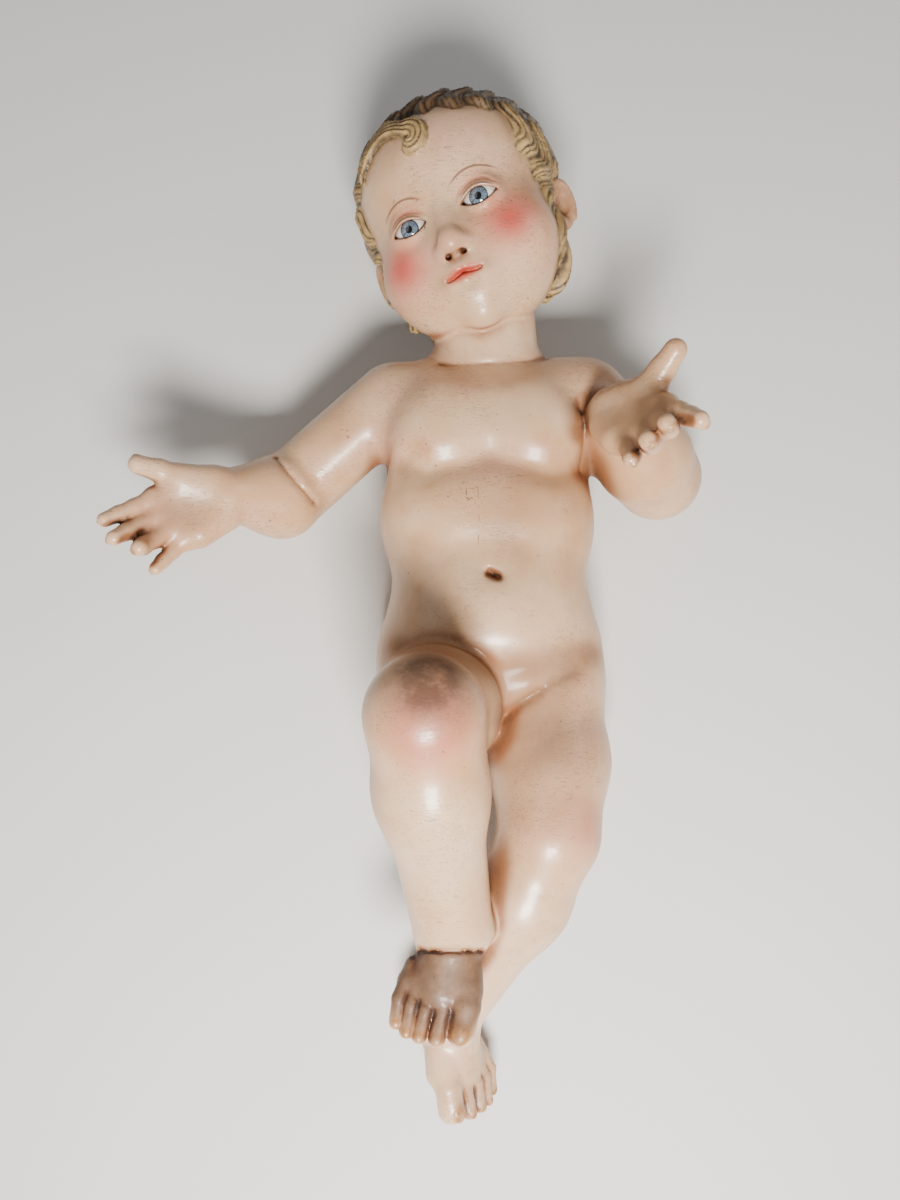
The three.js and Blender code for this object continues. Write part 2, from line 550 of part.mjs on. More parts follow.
// Thins a closed surface by joining the ends of the edges whose loss moves the surface least.
function thin({ points, triangles }, wanted) {
  const quadrics = points.map(() => new Float64Array(10));
  const around = points.map(() => new Set());
  const alive = triangles.map(() => true);
  const normalOf = ([a, b, c], moved, to) => {
    const [p, q, r] = [a, b, c].map((v) => (v === moved ? to : points[v]));
    return cross(q.map((v, i) => v - p[i]), r.map((v, i) => v - p[i]));
  };
  triangles.forEach((t, n) => {
    const normal = normalOf(t);
    const area = norm(...normal);
    if (area > 1e-12) {
      const [a, b, c] = normal.map((v) => v / area);
      const d = -dot([a, b, c], points[t[0]]);
      const terms = [a * a, a * b, a * c, a * d, b * b, b * c, b * d, c * c, c * d, d * d];
      t.forEach((v) => terms.forEach((term, i) => (quadrics[v][i] += term * area)));
    }
    t.forEach((v) => around[v].add(n));
  });
  const errorAt = (q, [x, y, z]) =>
    q[0] * x * x + 2 * q[1] * x * y + 2 * q[2] * x * z + 2 * q[3] * x + q[4] * y * y +
    2 * q[5] * y * z + 2 * q[6] * y + q[7] * z * z + 2 * q[8] * z + q[9];
  const version = new Uint32Array(points.length);
  const heap = [];
  const swap = (i, j) => ([heap[i], heap[j]] = [heap[j], heap[i]]);
  const push = (item) => {
    let i = heap.push(item) - 1;
    while (i && heap[(i - 1) >> 1].cost > heap[i].cost) {
      swap(i, (i - 1) >> 1);
      i = (i - 1) >> 1;
    }
  };
  const pop = () => {
    swap(0, heap.length - 1);
    const top = heap.pop();
    for (let i = 0; ; ) {
      let least = i;
      for (const child of [2 * i + 1, 2 * i + 2])
        if (child < heap.length && heap[child].cost < heap[least].cost) least = child;
      if (least === i) return top;
      swap(i, least);
      i = least;
    }
  };
  const propose = (a, b) => {
    const sum = quadrics[a].map((v, i) => v + quadrics[b][i]);
    const choices = [points[a], points[b], between(points[a], points[b], 0.5)];
    const [xx, xy, xz, xd, yy, yz, yd, zz, zd] = sum;
    const det = xx * (yy * zz - yz * yz) - xy * (xy * zz - yz * xz) + xz * (xy * yz - yy * xz);
    if (Math.abs(det) > 1e-4 * (xx + yy + zz) ** 3) {
      const best = [
        -(xd * (yy * zz - yz * yz) - xy * (yd * zz - yz * zd) + xz * (yd * yz - yy * zd)) / det,
        -(xx * (yd * zz - yz * zd) - xd * (xy * zz - yz * xz) + xz * (xy * zd - yd * xz)) / det,
        -(xx * (yy * zd - yd * yz) - xy * (xy * zd - yd * xz) + xd * (xy * yz - yy * xz)) / det,
      ];
      choices.unshift(best);
    }
    const errors = choices.map((c) => errorAt(sum, c));
    const least = errors.indexOf(Math.min(...errors));
    const length = norm(...points[a].map((v, i) => v - points[b][i]));
    const cost = errors[least] + 1e-5 * length * length;
    push({ cost, a, b, to: choices[least], stamps: [version[a], version[b]] });
  };
  const neighbours = (v) => {
    const found = new Set();
    for (const n of around[v]) for (const w of triangles[n]) if (w !== v) found.add(w);
    return found;
  };
  triangles.forEach(([a, b, c]) => {
    for (const [p, q] of [[a, b], [b, c], [c, a]]) if (p < q) propose(p, q);
  });
  let left = triangles.length;
  const flips = (v, other, to) => {
    for (const n of around[v]) {
      if (triangles[n].includes(other)) continue;
      const before = normalOf(triangles[n]);
      const after = normalOf(triangles[n], v, to);
      const sizes = norm(...before) * norm(...after);
      if (dot(before, after) < 0.25 * sizes || norm(...after) < 1e-3) return true;
    }
    return false;
  };
  while (left > wanted && heap.length) {
    const { a, b, to, stamps } = pop();
    if (stamps[0] !== version[a] || stamps[1] !== version[b]) continue;
    const shared = neighbours(b);
    const common = [...neighbours(a)].filter((v) => shared.has(v));
    if (!shared.has(a) || common.length !== 2 || flips(a, b, to) || flips(b, a, to)) continue;
    points[a] = to;
    quadrics[b].forEach((v, i) => (quadrics[a][i] += v));
    for (const n of [...around[b]]) {
      if (triangles[n].includes(a)) {
        triangles[n].forEach((v) => around[v].delete(n));
        alive[n] = false;
        left--;
      } else {
        triangles[n] = triangles[n].map((v) => (v === b ? a : v));
        around[a].add(n);
      }
    }
    around[b].clear();
    version[a]++;
    version[b]++;
    for (const v of neighbours(a)) propose(a, v);
  }
  return { points, triangles: triangles.filter((t, n) => alive[n]) };
}

// Solids, joined and cut
const wasm = await Module();
wasm.setup();
function geometryOf({ points, triangles }) {
  const geometry = new THREE.BufferGeometry();
  geometry.setAttribute("position", new THREE.Float32BufferAttribute(points.flat(), 3));
  geometry.setIndex(triangles.flat());
  return geometry;
}
function solidOf(geometry) {
  const bare = geometry.clone();
  bare.deleteAttribute("normal");
  bare.deleteAttribute("uv");
  const merged = mergeVertices(bare, 1e-4);
  return new wasm.Manifold(new wasm.Mesh({
    numProp: 3,
    vertProperties: new Float32Array(merged.attributes.position.array),
    triVerts: new Uint32Array(merged.index.array),
  }));
}
function geometryFrom(solid) {
  const mesh = solid.getMesh();
  const geometry = new THREE.BufferGeometry();
  geometry.setAttribute("position", new THREE.Float32BufferAttribute(mesh.vertProperties, 3));
  geometry.setIndex([...mesh.triVerts]);
  return geometry;
}

const xs = gridLines(-150, 155, (x) => (x < -75 ? 2 : 2.4));
const ys = gridLines(-272, 262, (y) => (y > 125 || y < -195 ? 1.9 : 2.4));
const zs = gridLines(-9, 150, () => 2.1);
const rough = surfaceOf(figure(), xs, ys, zs);
const thinned = thin(rough, TRIANGLES);

const floor = new THREE.BoxGeometry(600, 900, 100).translate(0, 0, -50);
const eyeGeometry = (radius) => new THREE.SphereGeometry(radius, EYE_SIDES, EYE_SIDES * 0.75);
const eyePlaces = [[-EYE[0], EYE[1], EYE[2]], EYE].map((place) => toWorld(HEAD_FRAME, place));
let carved = solidOf(geometryOf(thinned)).subtract(solidOf(floor));
for (const place of eyePlaces)
  carved = carved.subtract(solidOf(eyeGeometry(EYE_RADIUS + EYE_CLEARANCE).translate(...place)));

const child = new THREE.Group();
const skin = new THREE.MeshStandardMaterial({ color: SKIN, roughness: 0.4, metalness: 0 });
const glass = new THREE.MeshStandardMaterial({ color: GLASS, roughness: 0.1, metalness: 0 });
const body = new THREE.Mesh(geometryFrom(carved), skin);
body.name = "figure";
child.add(body);
["eye_right", "eye_left"].forEach((name, i) => {
  const eye = new THREE.Mesh(eyeGeometry(EYE_RADIUS), glass);
  eye.name = name;
  eye.position.set(...eyePlaces[i]);
  child.add(eye);
});

// The reference point is the middle of the figure's box, on the surface that it lies on.
const box = new THREE.Box3().setFromObject(child);
child.position.set(-(box.min.x + box.max.x) / 2, -(box.min.y + box.max.y) / 2, -box.min.z);

export default child;
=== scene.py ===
# A carved and painted wooden figure of a small child with glass eyes, lying on its back.
# Lengths are millimetres, as in the part's source, until the points become meshes in metres.
# The body is a distance field: soft forms that blend into each other, with folds pressed into them.
import math

import bpy
import numpy as np
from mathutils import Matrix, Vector


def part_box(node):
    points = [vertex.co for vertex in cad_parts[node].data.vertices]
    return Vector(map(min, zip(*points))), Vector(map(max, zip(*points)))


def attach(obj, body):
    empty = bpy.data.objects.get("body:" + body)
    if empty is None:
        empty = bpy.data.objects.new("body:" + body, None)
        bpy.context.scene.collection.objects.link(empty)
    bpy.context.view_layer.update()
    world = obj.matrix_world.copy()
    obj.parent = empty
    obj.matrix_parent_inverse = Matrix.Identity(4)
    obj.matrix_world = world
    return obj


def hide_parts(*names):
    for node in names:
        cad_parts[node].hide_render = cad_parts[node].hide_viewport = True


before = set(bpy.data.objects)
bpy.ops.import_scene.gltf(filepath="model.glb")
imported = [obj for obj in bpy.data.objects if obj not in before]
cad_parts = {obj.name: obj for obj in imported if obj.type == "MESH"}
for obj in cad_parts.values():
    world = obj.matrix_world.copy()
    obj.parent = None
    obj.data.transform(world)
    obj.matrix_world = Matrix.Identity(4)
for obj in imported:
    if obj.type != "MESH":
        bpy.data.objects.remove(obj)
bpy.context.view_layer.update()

MM = 1000

# Driving dimensions
EYE_RADIUS = 9.5
EYE_CLEARANCE = 0.35
HAIR_THICKNESS = 2.4
MOST_TRIANGLES = 195000

# The places of the joints, as in the part's source
NECK_LOW = (45, 108, 40)
NECK_TOP = (43, 146, 47)
HEAD = (32, 188, 56.2)
HEAD_TURN = (13, -20, 17)
RIGHT_ARM = dict(shoulder=(-3, 99, 43), elbow=(-51, 59.5, 31), bulk=(-59, 51, 39.5), wrist=(-80, 47, 60))
LEFT_ARM = dict(shoulder=(94, 98, 44), elbow=(132, 63, 31), bulk=(123, 68.7, 44.5), wrist=(102.8, 82, 76))
RIGHT_LEG = dict(
    points=[(23, -50, 36), (20, -54, 72), (15.5, -56, 114), (18, -88, 99), (27, -150, 67)],
    radii=[29, 25.5, 23, 21.5, 18],
)
LEFT_LEG = dict(
    points=[(70, -48, 38), (73.5, -80, 44), (72, -112, 55), (59.5, -143, 47), (26.5, -199, 27)],
    radii=[29.5, 26, 21.8, 20, 16],
)

# The folds of the trunk, as (x, y) seen from the front or the back
BREAST_FOLD = [(8, 62), (16, 57), (32, 60), (45, 64), (58, 60), (73, 56), (84, 60)]
WAIST_FOLD = [(12, 24), (30, 20), (62, 20), (80, 24)]
BELLY_FOLD = [(4, -26), (28, -33), (49, -36), (68, -34), (92, -28)]
NAVEL = [(44, 7.6), (48, 6)]
GROIN_FOLD = [(48, -60), (58, -52), (67, -46.5), (84, -38)]
LEFT_ARMPIT = [(87, 92), (89.5, 78), (89, 60)]
RIGHT_ARMPIT = [(-2, 72), (-6.5, 58)]
SEAT_CLEFT = [(46, -30), (46, -84)]
SPINE = [(45, 92), (46, -10)]
THIGH_FOLD = [(58, -80), (66, -70), (78, -62), (88, -58)]
NECK_FOLD_AXIS = (-0.05, 0.93, 0.36)
ELBOW_FOLD = (-50, 56.5, 53)
ELBOW_FOLD_AXIS = (0.75, 0.66, 0.025)


# Numeric helpers, for points and for arrays of coordinates
def unit(v):
    v = np.asarray(v, float)
    return v / np.linalg.norm(v)


def between(a, b, t):
    return tuple(np.asarray(a, float) * (1 - t) + np.asarray(b, float) * t)


def norm(x, y, z):
    return np.sqrt(x * x + y * y + z * z)


def ramp(low, high, t):
    s = np.clip((t - low) / (high - low), 0, 1)
    return s * s * (3 - 2 * s)


# Fields: each gives the distance to a surface at arrays of x, y and z, and is negative inside it.
def ball(centre, radius):
    cx, cy, cz = centre
    return lambda x, y, z: norm(x - cx, y - cy, z - cz) - radius


def egg(centre, radii):
    cx, cy, cz = centre
    rx, ry, rz = radii

    def value(x, y, z):
        u, v, w = (x - cx) / rx, (y - cy) / ry, (z - cz) / rz
        reach = norm(u, v, w)
        return reach * (reach - 1) / np.maximum(norm(u / rx, v / ry, w / rz), 1e-9)

    return value


def cushion(centre, half, radius):
    def value(x, y, z):
        u = np.abs(x - centre[0]) - half[0] + radius
        v = np.abs(y - centre[1]) - half[1] + radius
        w = np.abs(z - centre[2]) - half[2] + radius
        outside = norm(np.maximum(u, 0), np.maximum(v, 0), np.maximum(w, 0))
        return outside + np.minimum(np.maximum(np.maximum(u, v), w), 0) - radius

    return value


def limb(a, b, radius_a, radius_b):
    ax, ay, az = a
    dx, dy, dz = b[0] - ax, b[1] - ay, b[2] - az
    whole = dx * dx + dy * dy + dz * dz

    def value(x, y, z):
        t = np.clip(((x - ax) * dx + (y - ay) * dy + (z - az) * dz) / whole, 0, 1)
        away = norm(x - ax - t * dx, y - ay - t * dy, z - az - t * dz)
        return away - (radius_a + (radius_b - radius_a) * t)

    return value


def soft_min(a, b, k):
    h = np.maximum(k - np.abs(a - b), 0)
    return np.minimum(a, b) - h * h / (4 * k)


def blend(k, *fields):
    def value(x, y, z):
        d = fields[0](x, y, z)
        for each in fields[1:]:
            d = soft_min(d, each(x, y, z), k)
        return d

    return value


def carve(k, body, *cuts):
    def value(x, y, z):
        d = -body(x, y, z)
        for cut in cuts:
            d = soft_min(d, cut(x, y, z), k)
        return -d

    return value


# Folds press a field inward, most on a line and less to each side: a crease is sharp, a dip is soft.
def crease(width, depth, away):
    return lambda x, y, z: depth * np.exp(-away(x, y, z) / width)


def dip(width, depth, away):
    return lambda x, y, z: depth * np.exp(-((away(x, y, z) / width) ** 2))


def pressed(body, *folds):
    return lambda x, y, z: body(x, y, z) + sum(each(x, y, z) for each in folds)


# How far a point is from a line drawn on the XY plane, on the front of the figure or on its back
def drawn(points, front, level):
    def value(x, y, z):
        least = np.full_like(x, 1e9)
        for (ax, ay), (bx, by) in zip(points, points[1:]):
            dx, dy = bx - ax, by - ay
            t = np.clip(((x - ax) * dx + (y - ay) * dy) / (dx * dx + dy * dy), 0, 1)
            least = np.minimum(least, np.hypot(x - ax - t * dx, y - ay - t * dy))
        return least + (np.maximum(level - z, 0) if front else np.maximum(z - level, 0))

    return value


# How far a point is from a plane across a limb, out to a reach from the limb's middle
def across(centre, axis, reach):
    cx, cy, cz = centre
    a, b, c = unit(axis)

    def value(x, y, z):
        along = (x - cx) * a + (y - cy) * b + (z - cz) * c
        return np.abs(along) + np.maximum(norm(x - cx, y - cy, z - cz) - reach, 0)

    return value


def chain(k, points, radii):
    pairs = zip(points, points[1:], radii, radii[1:])
    return blend(k, *[limb(a, b, ra, rb) for a, b, ra, rb in pairs])


# A field worked out only inside a ball and up to this far outside it. Elsewhere it is the ball's distance.
NEAR = 14


def near(centre, radius, field):
    reach = ball(centre, radius)

    def value(x, y, z):
        away = reach(x, y, z)
        close = away <= NEAR
        if close.any():
            away[close] = field(x[close], y[close], z[close])
        return away

    return value


# A place has an origin and three unit directions; in_place reads a field in that place's coordinates.
def limb_place(origin, along, facing, side):
    f = unit(along)
    p = unit(np.asarray(facing, float) - np.dot(facing, f) * f)
    return origin, (f, np.cross(f, p) * side, p)


def to_world(place, point):
    origin, axes = place
    return tuple(np.asarray(origin, float) + sum(p * a for p, a in zip(point, axes)))


def local(place, x, y, z):
    (ox, oy, oz), axes = place
    dx, dy, dz = x - ox, y - oy, z - oz
    return [dx * a[0] + dy * a[1] + dz * a[2] for a in np.asarray(axes, np.float32)]


def in_place(place, field):
    return lambda x, y, z: field(*local(place, x, y, z))


def sized(size, field):
    return lambda x, y, z: size * field(x / size, y / size, z / size)


def mirrored(field):
    return lambda x, y, z: field(np.abs(x), y, z)


# The trunk
def trunk():
    mass = blend(
        30,
        cushion((43.5, 68, 38), (49, 52, 34), 32),
        cushion((45.5, 4, 39), (45.5, 52, 34), 32),
        cushion((46, -38, 33), (53.5, 32, 31), 30),
    )
    breasts = [egg((x, 77, 59), (24, 22, 18)) for x in (22, 67)]
    ribs = egg((44.5, 42, 50), (40, 26, 22.5))
    belly = egg((46, -8, 48), (41, 36, 33))
    seats = [ball((x, -52, 28), 27) for x in (22, 70)]
    slopes = [limb((45 + s * 15, 106, 42), (45 + s * 42, 96.5 + s * 1.5, 42), 16.5, 17.5) for s in (-1, 1)]
    return pressed(
        blend(12, mass, *breasts, ribs, belly, *seats, *slopes),
        dip(7, 2.8, drawn(BREAST_FOLD, True, 45)),
        dip(9, 1.2, drawn(WAIST_FOLD, True, 50)),
        dip(8, 2, drawn(BELLY_FOLD, True, 30)),
        dip(9, 2, drawn(NAVEL, True, 50)),
        dip(1.9, 5, drawn(NAVEL, True, 50)),
        crease(2, 5, drawn(SEAT_CLEFT, False, 24)),
        dip(7, 2.4, drawn(SPINE, False, 20)),
    )


# An arm, from the shoulder to the wrist
def arm(joints, thick):
    shoulder, elbow, bulk, wrist = [joints[name] for name in ("shoulder", "elbow", "bulk", "wrist")]
    upper = limb(shoulder, elbow, thick, thick + 1)
    fore = chain(8, [elbow, bulk, wrist], [thick - 1, thick + 1, 13])
    return blend(2.5, upper, fore)


# A nail lies on the back of a finger or a toe, a little behind its tip
def nail_place(tip, along, back, radius):
    centre = np.asarray(tip, float) + unit(along) * radius * 0.1 + unit(back) * radius * 0.78
    return limb_place(tuple(centre), along, back, 1)


def nail(place, radius):
    return in_place(place, egg((0, 0, 0), (radius * 0.78, radius * 0.62, radius * 0.36)))


# A hand, in a place whose first direction runs along it, the second to the thumb, the third out of the palm
PALM = 31
FINGERS = [
    dict(side=11.4, back=0, length=26, radius=4),
    dict(side=4, back=-1, length=28, radius=4),
    dict(side=-3.6, back=0.5, length=26.5, radius=4.2),
    dict(side=-10.6, back=4, length=21.5, radius=3.6),
]


def step_from(start, turn, reach):
    a, b = np.radians(turn)
    way = np.array([np.cos(a) * np.cos(b), np.sin(a) * np.cos(b), np.sin(b)])
    return np.asarray(start, float) + reach * way


def finger(stout, side, back, length, radius, splay, curls):
    radius = radius * stout
    place = np.array([PALM - back, side, 0.0])
    points = [place]
    bend = 0
    for share, curl in zip((0.42, 0.31, 0.27), curls):
        bend += curl
        place = step_from(place, (splay, bend), share * length)
        points.append(place)
    form = chain(1.5, points, [radius + 0.6, radius, radius - 0.2, radius - 0.6])
    along = points[3] - points[2]
    backward = np.cross(along, np.array([-math.sin(math.radians(splay)), math.cos(math.radians(splay)), 0]))
    return form, nail_place(points[3], along, -backward, radius - 0.6), radius - 0.6


def hand(place, poses, thumb, stout):
    metacarpals = [
        limb((2, f["side"] * 0.45, 0), (PALM - f["back"], f["side"], -0.5), 8, 6) for f in FINGERS
    ]
    thenar = limb((6, 8, 3), (18, 15, 4), 8.5, 7)
    hypothenar = limb((6, -8, 2), (20, -12, 2.5), 7.5, 6)
    thumb_root = np.array([17.0, 14, 4])
    knuckle = step_from(thumb_root, thumb[0], 11)
    tip = step_from(knuckle, thumb[1], 10)
    digits = [finger(stout, **f, splay=splay, curls=curls) for f, (splay, curls) in zip(FINGERS, poses)]
    thumb_nail = nail_place(tip, tip - knuckle, np.cross(tip - knuckle, (0, 0, 1)) * -1, 4.2)
    nails = [(digit[1], digit[2]) for digit in digits] + [(thumb_nail, 4.2)]
    whole = blend(
        2.6,
        blend(6, *metacarpals, thenar, hypothenar),
        chain(2, [thumb_root, knuckle, tip], [6.5 * stout, 5.2 * stout, 4.5 * stout]),
        *[digit[0] for digit in digits],
    )
    plates = [nail(*each) for each in nails]
    reach = to_world(place, (30, 2, 6))
    mark = blend(0.3, *plates)
    return near(reach, 48, in_place(place, blend(0.4, whole, mark))), near(reach, 48, in_place(place, mark))


# A leg, from the hip to the ankle
def leg(points, radii):
    return blend(10, chain(16, points[:3], radii[:3]), chain(16, points[2:], radii[2:]))


# A foot, in a place whose first direction runs to the toes, the second to the big toe, the third up
TOES = [
    dict(side=9.5, tip_side=6.5, start=32, tip=41, radius=6.4),
    dict(side=-0.2, tip_side=-3.6, start=34.5, tip=44.5, radius=3.8),
    dict(side=-8, tip_side=-11.2, start=34.5, tip=44, radius=3.4),
    dict(side=-14.8, tip_side=-16.8, start=33, tip=42.5, radius=3.3),
    dict(side=-20.8, tip_side=-21.6, start=30.5, tip=39, radius=3.3),
]


def toe(side, tip_side, start, tip, radius):
    root, middle = (start - 14, side * 0.75, -9), (start, side * 0.6 + tip_side * 0.4, -9.5)
    end = (tip, tip_side, -14)
    form = blend(1, limb(root, middle, radius + 1.2, radius), limb(middle, end, radius - 0.2, radius))
    return form, nail_place(end, np.subtract(end, middle), (0.35, 0, 1), radius)


def foot(place):
    heel = ball((-9, 0, -11), 12.5)
    instep = limb((0, 0.5, -3), (26, -3, -10), 19, 8.5)
    ball_of_foot = limb((25, 7.5, -11.5), (23, -16.5, -11.5), 7.8, 6.6)
    sole = limb((-4, -1, -13), (22, -4, -13), 10, 8)
    toes = [toe(**t) for t in TOES]
    base = blend(2.2, blend(9, heel, instep, ball_of_foot, sole), toes[0][0])
    mark = blend(0.3, *[nail(t[1], size["radius"]) for t, size in zip(toes, TOES)])
    reach = to_world(place, (20, 0, -6))
    whole = blend(0.4, blend(0.9, base, *[t[0] for t in toes[1:]]), mark)
    return near(reach, 48, in_place(place, whole)), near(reach, 48, in_place(place, mark))


# The head, in a place centred in it: x to the figure's left, y to the crown, z out of the face
EYE = (17.5, -5, 33.5)


def face():
    skull = egg((0, 11, -7), (49, 45.5, 50))
    brow = egg((0, 18, 10), (37, 28, 35))
    lower = egg((0, -17, 9), (40, 40, 38))
    cheek = mirrored(ball((21, -25, 20), 22.5))
    jowl = mirrored(ball((13.5, -37, 15), 19.5))
    muzzle = egg((0, -33, 34), (17, 13, 13))
    chin = ball((0, -49, 33), 8.5)
    form = blend(10, skull, brow, lower, cheek, jowl, blend(6, muzzle, chin))
    socket = mirrored(egg((17, -3.5, 52), (12.5, 8, 7)))
    lids = mirrored(ball(EYE, EYE_RADIUS + 2.2))
    bridge = limb((0, -3, 41.2), (0, -17, 48.2), 4.2, 4.6)
    nose = blend(4, bridge, ball((0, -19.5, 50), 5.4))
    wings = mirrored(ball((5.6, -21.6, 46), 3.9))
    upper_lip = mirrored(limb((1.8, -30.8, 47.2), (10, -33.2, 42.6), 2.6, 1.3))
    lower_lip = mirrored(limb((0, -36.6, 46.6), (8.5, -34.8, 43), 3, 1.4))
    features = blend(3, blend(2, carve(9, form, socket), lids), blend(4, nose, wings), upper_lip, lower_lip)
    nostril = mirrored(limb((2.7, -25.2, 50.2), (4.7, -24.4, 46), 1.1, 1.4))
    philtrum = limb((0, -25.5, 51.5), (0, -29, 51.5), 1, 1.6)
    hollowed = carve(1.2, features, nostril, philtrum)
    return pressed(hollowed, dip(0.85, 1.7, mouth_line), dip(2, 0.7, mouth_corner))


def mouth_line(x, y, z):
    # Where the lips meet: a gentle bow that fades out before the corners
    bow = -33.9 + 0.45 * np.cos(x * 0.5)
    return np.abs(y - bow) + np.maximum(np.abs(x) - 8.2, 0) * 0.7 + np.maximum(38 - z, 0)


mouth_corner = mirrored(ball((10.6, -33.6, 43), 0))


def eye_opening():
    # An almond: the space below one arch and above another, in front of the eye
    ex, ey, ez = EYE

    def value(x, y, z):
        u = np.abs(x) - ex
        upper = y - (ey + 3.9 - u * u * 0.051)
        lower = ey - 3.3 + u * u * 0.041 - y
        front = np.maximum(ez - z + 2, norm(u, y - ey, z - ez) - EYE_RADIUS - 6)
        return np.maximum(np.maximum(upper, lower) * 0.8, front)

    return value


def lid_fold():
    # The fold above the upper lid: an arch just over the eye's opening
    ex, ey, ez = EYE

    def away(x, y, z):
        u = np.abs(x) - ex
        arch = np.abs(y - (ey + 7.4 - u * u * 0.05))
        return arch + np.maximum(np.abs(u) - 7, 0) * 0.5 + np.maximum(ez - z, 0)

    return dip(1.2, 0.7, away)


def ear():
    shell = egg((0, 0, 0), (3.6, 14, 9))
    bowl = egg((4.2, 0.8, 0.6), (4.4, 10.2, 5.8))
    lobe = egg((0.6, -11.2, 1.6), (2.6, 4, 3.8))
    tragus = ball((0.4, -2.8, 6.6), 2.2)

    def rim(x, y, z):
        # A rounded ridge on the shell's edge, from above the lobe, over the top, to the front
        ring = (norm(y / 12.6, z / 7.8, 0) - 1) * 9
        open_part = np.maximum(z * 0.9 - y - 3, 0) * 0.4
        return np.hypot(ring, x - 2.2) - 1.5 + open_part

    def inner_fold(x, y, z):
        ring = (norm((y - 0.5) / 8, (z + 0.4) / 4.6, 0) - 1) * 6
        return np.hypot(ring, x - 1.2) - 1.2 + np.maximum(z - 2.6, 0) + np.maximum(-y - 6, 0)

    hollow = carve(1, blend(2, shell, lobe), bowl)
    conch = ball((2.2, -2.8, 1.4), 4.2)
    return carve(0.8, blend(1, hollow, tragus, rim, inner_fold), conch)


EAR_SIZE = 0.84
EAR = limb_place((47.4, -14, -2), (0.8, 0.02, 0.6), (-0.6, 0.16, 0.78), -1)

# Hair: how far back it starts, in degrees from the front, all round the head from the crown (0)
HAIR_CENTRE = (0, 11, -7)
HAIRLINE = [
    (-180, 122), (-165, 95), (-155, 78), (-145, 74), (-132, 70), (-118, 64), (-108, 60), (-99, 58),
    (-90, 58), (-75, 58), (-66, 56), (-54, 46), (-40, 44), (-20, 42), (0, 40), (29, 40), (45, 45),
    (60, 56), (66, 57), (82, 53), (91, 55), (107, 63), (120, 66), (134, 70), (145, 74), (155, 78),
    (165, 95), (180, 122),
]
NAPE_LOCKS = dict(turn=144, across=13, lean=88, along=16, left_bulk=5, right_bulk=2)
WHORL = unit((0.12, 0.72, -0.68))
WHORL_SIDE = unit(np.cross(WHORL, (0, 0, 1)))
WHORL_FRONT = np.cross(WHORL_SIDE, WHORL)
LOCKS = 22
STRANDS = 5
FORELOCK = dict(side=-4, rise=21, wide=31, high=9, inner=2.2, outer=11.5, strand=2.5, turn=math.radians(235))


def scalp(x, y, z):
    """How far a point lies behind the hairline in degrees, and the phase and bulk of the locks there."""
    dx, dy, dz = x - HAIR_CENTRE[0], y - HAIR_CENTRE[1], z - HAIR_CENTRE[2]
    far = norm(dx, dy, dz) + 1e-3
    from_front = np.degrees(np.arccos(np.clip(dz / far, -1, 1)))
    around = np.degrees(np.arctan2(dx, dy))
    line = np.interp(around, *np.transpose(HAIRLINE)).astype(np.float32)
    beside = (np.abs(around) - NAPE_LOCKS["turn"]) / NAPE_LOCKS["across"]
    level = (from_front - NAPE_LOCKS["lean"]) / NAPE_LOCKS["along"]
    fullest = np.where(dx > 0, NAPE_LOCKS["left_bulk"], NAPE_LOCKS["right_bulk"])
    bulk = fullest * np.exp(-beside * beside - level * level)
    out, side, front = [
        (dx * a[0] + dy * a[1] + dz * a[2]) / far for a in (WHORL, WHORL_SIDE, WHORL_FRONT)
    ]
    down = np.arccos(np.clip(out, -1, 1))
    turn = np.arctan2(side, front)
    phase = LOCKS * turn + 1.3 * np.sin(13 * down + 1.5 * np.sin(2 * turn)) + 2 * np.sin(4 * down + 3 * turn)
    return from_front - line, phase, down, bulk


def strand_phase(phase, down):
    # Strands inside a lock, some wider than others
    return STRANDS * phase + 1.2 * np.sin(2 * phase + 7 * down)


def forelock(x, y, z):
    """The curl over the forehead: its cover from 0 to 1, and how far across its strands a point is."""
    lift = np.arctan2(y - HAIR_CENTRE[1], z - HAIR_CENTRE[2]) - math.radians(FORELOCK["rise"])
    s = x - FORELOCK["side"]
    t = lift * 50
    turn = np.arctan2(s, t) % (2 * math.pi)
    share = np.clip(turn / FORELOCK["turn"], 0, 1.2)
    curl = np.hypot(s, t) + 7.5 * share ** 1.6
    swept = t - FORELOCK["high"] * np.sin(np.pi * np.clip(-s, 0, FORELOCK["wide"]) / FORELOCK["wide"])
    hooked = (s >= 0) | ((t < 2) & (share < 1.1))
    level = np.where(hooked, curl, np.where(-s < FORELOCK["wide"], swept, 99))
    inner = FORELOCK["inner"]
    outer = FORELOCK["outer"] + 5 * ramp(0, 12, -s) * (t > 0)
    within = ramp(outer + 1, outer - 1.5, level) * ramp(1.08, 0.9, share * hooked) * ramp(0, 6, z)
    return within * ramp(inner - 1, inner + 1, level), level, within


def hair_thickness(x, y, z):
    behind, phase, down, bulk = scalp(x, y, z)
    spread = ramp(0.15, 0.6, down)
    locks = np.sin(phase)
    cover = ramp(-2, 5, behind + 2.2 * locks)
    strands = np.sin(strand_phase(phase, down)) * spread
    thick = cover * (HAIR_THICKNESS + bulk + 0.8 * locks * spread + 0.42 * strands)
    curl, level, _ = forelock(x, y, z)
    ridges = np.sin(2 * np.pi * level / FORELOCK["strand"])
    return np.maximum(thick, curl * (HAIR_THICKNESS + 0.6 + 0.4 * ridges))


def head():
    bare = face()
    ears = mirrored(in_place(EAR, sized(EAR_SIZE, ear())))

    def with_hair(x, y, z):
        # The hair leaves the ears bare
        return bare(x, y, z) - hair_thickness(x, y, z) * ramp(-1, 3, ears(x, y, z))

    return carve(0.8, pressed(blend(2, with_hair, ears), lid_fold()), eye_opening())


